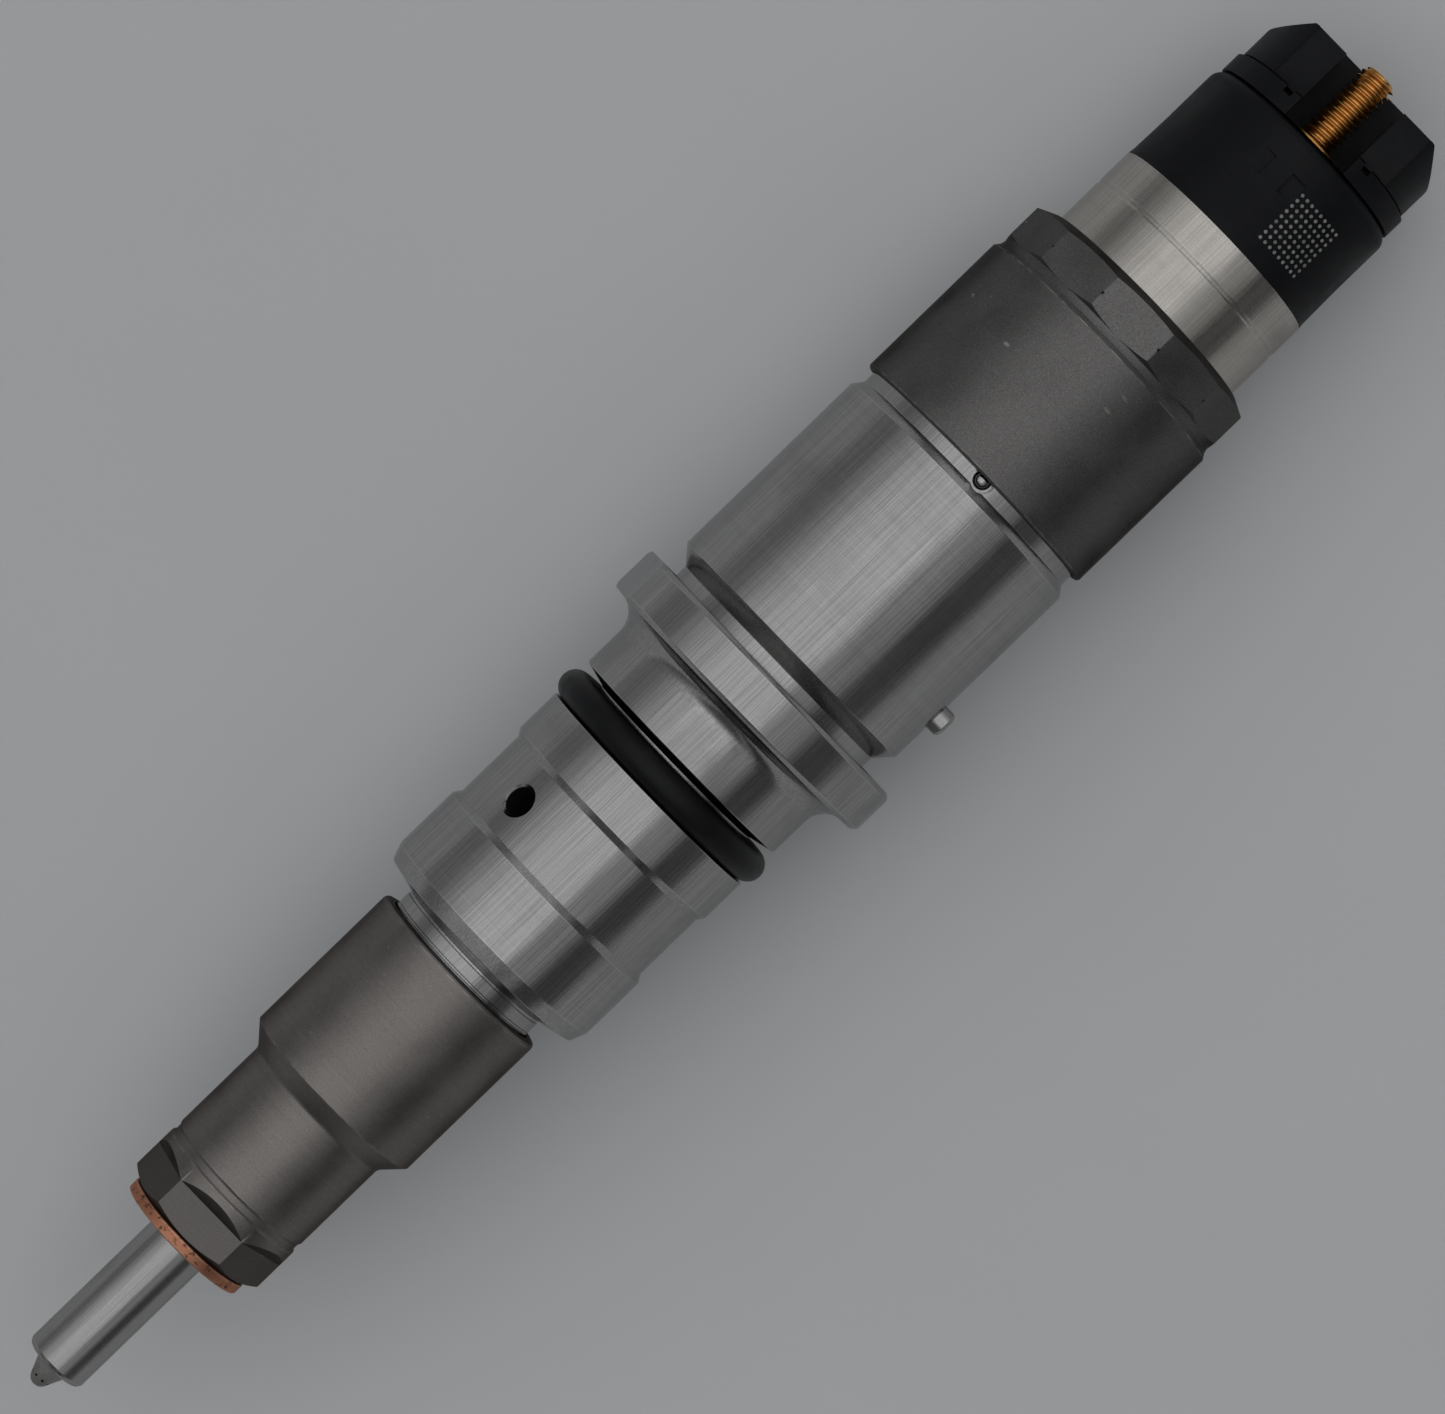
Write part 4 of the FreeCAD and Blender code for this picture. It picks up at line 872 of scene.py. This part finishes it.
def moulded_plastic():
    material, tree, shader = finish("moulded plastic", 0.0, 0.55, specular_ior_level=0.2)
    place = tree.nodes.new("ShaderNodeTexCoord").outputs["Object"]
    fibres = noise(tree, stretched(tree, place, (1, 0.35, 1)), 1500, 3, 0.6)
    cloud = noise(tree, place, 160, 4, 0.6)
    both = sums(tree, "ADD", sums(tree, "MULTIPLY", fibres, 0.4), sums(tree, "MULTIPLY", cloud, 0.6))
    shade = between(tree, both, 0.38, 0.66)
    base = mixed(tree, shade, (0.0022, 0.0025, 0.0035), (0.0048, 0.0052, 0.0067))
    base = mixed(tree, sums(tree, "MULTIPLY", worn_mask(tree), 0.5), base, (0.013, 0.0135, 0.016))
    tree.links.new(base, shader.inputs["Base Color"])
    tree.links.new(between(tree, cloud, 0.3, 0.7, 0.46, 0.64), shader.inputs["Roughness"])
    bumped(tree, shader, fibres, 0.012)
    return material


plastic = moulded_plastic()


shoulder_arc = [
    (disc_foot - 1.4 + 1.4 * math.sin(turn), skirt_r - 1.4 + 1.4 * math.cos(turn))
    for turn in [math.radians(11.25 * n) for n in range(9)]
]
cap = shown("connector_cap", eased(turned([
    (cap_start, 0),
    (cap_start, 10.55),
    (cap_foot + 3.32, 10.55),
    (cap_foot + 3.32, 11.32),
    (cap_foot, 11.32),
    (cap_foot, skirt_r + 0.2),
    (cap_foot + 0.5, skirt_r + 0.1),
    (cap_foot + 5, skirt_r),
    *shoulder_arc,
    (disc_foot, disc_r),
    (disc_top, disc_r),
    (disc_top, disc_r - 0.7),
    (disc_top + 0.3, disc_r - 0.7),
    (disc_top + 0.3, tower_r),
    (tower_top, tower_r),
    (tower_top, 0),
]), 0.06), plastic)
shapes = []
for side in (1, -1):
    deep = sorted((side * partition, side * 14))
    shapes.append(block((disc_foot, -bay, deep[0]), (cap_end, bay, deep[1])))
    deep = sorted((side * panel, side * 14))
    shapes.append(block((disc_top + 0.3, -panel_edge, deep[0]), (cap_end, panel_edge, deep[1])))
for hand, slant in ((1, -45), (-1, 225)):
    slope_block = block((-20, 0, -14), (20, 12, 14))
    aslant = Matrix.Rotation(math.radians(slant), 3, "Z")
    bmesh.ops.rotate(slope_block, verts=slope_block.verts, cent=(0, 0, 0), matrix=aslant)
    corner = Vector((tower_top - 2.9, hand * tower_r, 0)) * mm
    bmesh.ops.translate(slope_block, verts=slope_block.verts, vec=corner)
    shapes.append(slope_block)
worked(cap, "DIFFERENCE", *shapes)
middle_wall = block((disc_foot - 0.5, -bay - 0.4, -partition), (cap_end, bay + 0.4, partition))
worked(cap, "UNION", eased(middle_wall, 0.12, 30))

tools = []
for hand in (1, -1):
    for side in (1, -1):
        notch = sorted((hand * 4.98, hand * 5.92))
        deep = sorted((side * 6.2, side * 12))
        tools.append(block((disc_top - 0.6, notch[0], deep[0]), (disc_top + 0.3, notch[1], deep[1])))
    pocket = sorted((flash_y + hand * 1.15, flash_y + hand * 3.1))
    for side in (1, -1):
        deep = sorted((side * 11.58, side * 13))
        tools.append(block((150.2, pocket[0], deep[0]), (152.6, pocket[1], deep[1])))
stud_place = sum(v[2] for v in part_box("terminal_stud_front")) / 2 / mm
for clock in (0, 180):
    low, high = along("terminal_stud_front")
    tools.append(bar(at(low, stud_place, clock), at(low + 3.5, stud_place, clock), 3.0))
    tools.append(bar(at(low + 3, stud_place, clock), at(high, stud_place, clock), 2.0, None, 64))
    tools.append(bar(at(low - 21, 6.7, clock), at(low + 0.2, 6.7, clock), 0.5))
worked(cap, "DIFFERENCE", *tools)
flash = [
    block((cap_foot + 0.6, flash_y - 0.05, skirt_r - 0.3), (cap_foot + 6.2, flash_y + 0.05, skirt_r + 0.03)),
    block(
        (cap_foot + 0.6, -flash_y - 0.05, -skirt_r - 0.03), (cap_foot + 6.2, -flash_y + 0.05, -skirt_r + 0.3)
    ),
]
worked(cap, "UNION", *flash)
evened(cap)
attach(cap, "injector")
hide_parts("connector_cap")


def bleached_plastic():
    material, tree, shader = finish("bleached plastic", 0.0, 0.8)
    place = tree.nodes.new("ShaderNodeTexCoord").outputs["Object"]
    tone = between(tree, noise(tree, place, 2500, 2), 0.3, 0.7)
    tree.links.new(mixed(tree, tone, (0.17, 0.175, 0.165), (0.30, 0.305, 0.29)), shader.inputs["Base Color"])
    bumped(tree, shader, noise(tree, place, 6000, 2), 0.02)
    return material


dots = bmesh.new()
dot_pitch = 0.72
dot_field = (146.0, -2.9)  # first dot: place along the axis, and distance round the skirt
for row in range(9):
    for column in range(9):
        place = dot_field[0] + row * dot_pitch
        clock = math.degrees((dot_field[1] - column * dot_pitch) / skirt_r)
        surface = skirt_r + 0.1 * max(0, (cap_foot + 5 - place) / 4.5)
        dot = bar(at(place, surface - 0.05, clock), at(place, surface + 0.015, clock), 0.19, None, 10)
        scrap = bpy.data.meshes.new("dot")
        dot.to_mesh(scrap)
        dots.from_mesh(scrap)
        dot.free()
        bpy.data.meshes.remove(scrap)
lattice = shown("dot_lattice", dots, bleached_plastic())
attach(lattice, "injector")

# ---- Terminal studs ----
# Brass studs with a rolled M4 thread and a round anchor moulded into the cap. Thin brass washers lie
# round their feet for the cable eyes.


def bright_brass(name, light, dark, roughness):
    material, tree, shader = finish(name, 1.0, roughness)
    place = tree.nodes.new("ShaderNodeTexCoord").outputs["Object"]
    tone = noise(tree, place, 700, 4, 0.6)
    tree.links.new(mixed(tree, between(tree, tone, 0.35, 0.68), light, dark), shader.inputs["Base Color"])
    gloss = between(tree, tone, 0.3, 0.7, roughness - 0.06, roughness + 0.12)
    tree.links.new(gloss, shader.inputs["Roughness"])
    bumped(tree, shader, noise(tree, stretched(tree, place, (1, 0.3, 0.3)), 5200, 2), 0.008)
    return material


brass = bright_brass("stud brass", (0.72, 0.41, 0.13), (0.54, 0.27, 0.075), 0.24)
pitch = 0.7
crest_r, root_r = 1.99, 1.56


def threaded(side):
    """A stud: anchor and tip are turned, and the thread is a V profile screwed along the shank."""
    centre = (0, 0, side * stud_place)
    low, high = along("terminal_stud_front")
    thread_start = disc_foot + 0.7
    turns = math.ceil((high - thread_start) / pitch) + 2
    mesh = bmesh.new()
    v_profile = [
        (0, root_r), (0.08, root_r), (0.31, crest_r), (0.39, crest_r), (0.62, root_r), (pitch, root_r)
    ]
    begin = thread_start - pitch
    points = [mesh.verts.new((Vector(centre) + Vector((begin + x, 0, r))) * mm) for x, r in v_profile]
    sides = [mesh.edges.new(pair) for pair in zip(points, points[1:])]
    steps = 48 * turns
    bmesh.ops.spin(
        mesh, geom=points + sides, cent=Vector(centre) * mm, axis=(1, 0, 0),
        dvec=(pitch * turns / steps * mm, 0, 0), angle=math.tau * turns, steps=steps,
    )
    bmesh.ops.remove_doubles(mesh, verts=mesh.verts, dist=2e-6)
    bmesh.ops.holes_fill(mesh, edges=[e for e in mesh.edges if e.is_boundary], sides=0)
    bmesh.ops.recalc_face_normals(mesh, faces=mesh.faces)
    stud = shown(f"stud_{'front' if side > 0 else 'rear'}", mesh, brass)
    envelope = turned([
        (thread_start, 0), (thread_start, 2.0), (high - 0.45, 2.0), (high, 1.5), (high, 0)
    ], 64, centre)
    worked(stud, "INTERSECT", envelope)
    anchor = eased(turned([
        (low, 0), (low, 3.0), (low + 3.5, 3.0), (low + 3.5, 1.7), (thread_start + 0.1, 1.7),
        (thread_start + 0.1, 0),
    ], 64, centre), 0.06)
    worked(stud, "UNION", anchor)
    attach(stud, "injector")
    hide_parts("terminal_stud_front" if side > 0 else "terminal_stud_rear")


threaded(1)
threaded(-1)
contact = None
for side in (1, -1):
    ring = eased(turned([
        (disc_foot, 2.05), (disc_foot, 3.1), (disc_foot + 0.6, 3.1), (disc_foot + 0.6, 2.05)
    ], 64, (0, 0, side * stud_place)), 0.08)
    contact = shown("washer", ring, brass) if side == 1 else contact
    if side == -1:
        worked(contact, "UNION", ring)
contact.name = "contact_washers"
evened(contact)
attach(contact, "injector")
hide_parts("contact_washers")

# ---- Inside pieces ----
# What the casings hide keeps its CAD shape: valve, armature, springs, magnet and needle. Each takes
# the finish of its slot.

spring_wire = machined_steel(
    "spring wire", (0.30, 0.29, 0.275), (0.20, 0.195, 0.185), 0.3, 0.001, 0.001, 0.2, 0.15, 0.4
)
sintered_iron = phosphated("sintered iron", (0.22, 0.215, 0.205), (0.33, 0.32, 0.31), 0.55, 0.07, 0.2, 0.3)
slot_finish = {
    "turned_steel": ground_steel,
    "satin_steel": housing_steel,
    "ground_steel": nozzle_steel,
    "spring_steel": spring_wire,
    "ball_steel": ball_steel,
    "phosphate_steel": cold_phosphate,
    "magnet_iron": sintered_iron,
    "copper": copper,
    "stud_brass": brass,
    "ring_rubber": rubber,
    "cap_plastic": plastic,
}
for part in frame["record"]["subparts"]:
    for place in frame["nodes"][part["node"]].material_slots:
        place.material = slot_finish[part["material_slot"]]

# ---- Table ----
# A plain pale table top, sloped to meet the flange and the union nut, which the injector rests on.

union_node_r = radius_of("solenoid_nut")
slope = math.atan2(flange_r - union_node_r, union_end - 1.5 - flange_end)
table_size = 3.0


def pale_table():
    material, tree, shader = finish("pale table", 0.0, 0.6, specular_ior_level=0.2)
    place = tree.nodes.new("ShaderNodeTexCoord").outputs["Object"]
    tone = between(tree, noise(tree, place, 9, 4, 0.55), 0.3, 0.7)
    base = mixed(tree, tone, (0.664, 0.668, 0.673), (0.688, 0.692, 0.696))
    tree.links.new(base, shader.inputs["Base Color"])
    return material


table = bmesh.new()
bmesh.ops.create_grid(table, x_segments=1, y_segments=1, size=table_size / 2)
bmesh.ops.rotate(table, verts=table.verts, cent=(0, 0, 0), matrix=Matrix.Rotation(-slope, 3, "Y"))
bmesh.ops.translate(table, verts=table.verts, vec=(flange_end * mm, 0, -flange_r * mm - 0.00002))
floor = shown("table", table, pale_table())

# ---- Light ----
# A soft studio sky: a wide bright panel overhead, greyer towards the far side, a dark gap low on the
# near side and a pale horizon. The panel's own fine ribs show in bright steel.

panel_angles = (  # degrees from overhead towards +Y, and brightness
    (-92, 0.32), (-86, 0.27), (-80, 0.09), (-56, 0.07), (-47, 0.30), (-26, 0.36), (-22, 0.76), (30, 0.74),
    (33, 0.58), (47, 0.50), (57, 0.31), (70, 0.20), (84, 0.18), (92, 0.30),
)
reach = 120.0
sky = bpy.data.worlds.new("studio")
sky.use_nodes = True
bpy.context.scene.world = sky
tree = sky.node_tree
split = tree.nodes.new("ShaderNodeSeparateXYZ")
tree.links.new(tree.nodes.new("ShaderNodeTexCoord").outputs["Generated"], split.inputs[0])
angle = sums(tree, "MULTIPLY", sums(tree, "ARCTAN2", split.outputs["Y"], split.outputs["Z"]), 180 / math.pi)
ramp = tree.nodes.new("ShaderNodeValToRGB")
tree.links.new(sums(tree, "ADD", sums(tree, "DIVIDE", angle, 2 * reach), 0.5, True), ramp.inputs["Fac"])
stops = ramp.color_ramp.elements
while len(stops) < len(panel_angles):
    stops.new(0.5)
for stop, (degrees, level) in zip(stops, panel_angles):
    stop.position = (degrees + reach) / (2 * reach)
    stop.color = (level * 0.985, level, level * 1.02, 1)
towards_studs = between(tree, split.outputs["X"], 0.45, 0.88, 0.0, 0.45)
towards_tip = between(tree, split.outputs["X"], -0.45, -0.88, 0.0, 0.88)
ends = sums(tree, "ADD", towards_studs, towards_tip)
middle = between(tree, sums(tree, "ABSOLUTE", angle, 0), 20.0, 50.0, 1.0, 0.35)
endways = sums(tree, "SUBTRACT", 1.0, sums(tree, "MULTIPLY", ends, middle))
rib_place = tree.nodes.new("ShaderNodeCombineXYZ")
tree.links.new(angle, rib_place.inputs["X"])
tree.links.new(sums(tree, "MULTIPLY", split.outputs["X"], 1.5), rib_place.inputs["Y"])
wide_ribs = between(tree, noise(tree, rib_place.outputs[0], 0.22, 1), 0.3, 0.7, 0.84, 1.16)
fine_ribs = between(tree, noise(tree, rib_place.outputs[0], 1.1, 2, 0.6), 0.3, 0.7, 0.6, 1.4)
glow = tree.nodes["Background"]
tree.links.new(ramp.outputs["Color"], glow.inputs["Color"])
strength = sums(tree, "MULTIPLY", endways, sums(tree, "MULTIPLY", wide_ribs, fine_ribs))
tree.links.new(strength, glow.inputs["Strength"])
plain = tree.nodes.new("ShaderNodeBackground")
plain.inputs["Color"].default_value = (0.29, 0.295, 0.30, 1)
seen = tree.nodes.new("ShaderNodeMixShader")
tree.links.new(tree.nodes.new("ShaderNodeLightPath").outputs["Is Camera Ray"], seen.inputs[0])
tree.links.new(glow.outputs[0], seen.inputs[1])
tree.links.new(plain.outputs[0], seen.inputs[2])
tree.links.new(seen.outputs[0], tree.nodes["World Output"].inputs["Surface"])

# ---- Camera ----
# Straight down on the injector from a little over half a metre, turned so that it lies corner to
# corner with its nozzle at the lower left.

lens_place = Vector((86.1, 0.67, 550.0)) * mm
lens_aim = Vector((76.1, 0.67, 0.0)) * mm
turn = math.radians(44.074)
camera = bpy.data.objects.new("camera", bpy.data.cameras.new("camera"))
camera.data.lens = 137.0
camera.data.sensor_width = 36.0
camera.data.clip_start = 0.02
backwards = (lens_place - lens_aim).normalized()
right = Vector((math.cos(turn), -math.sin(turn), 0))
right = (right - right.dot(backwards) * backwards).normalized()
frame_axes = Matrix((right, backwards.cross(right), backwards)).transposed()
camera.matrix_world = Matrix.Translation(lens_place) @ frame_axes.to_4x4()
bpy.context.scene.collection.objects.link(camera)
bpy.context.scene.camera = camera
bpy.context.scene.view_settings.view_transform = "Standard"
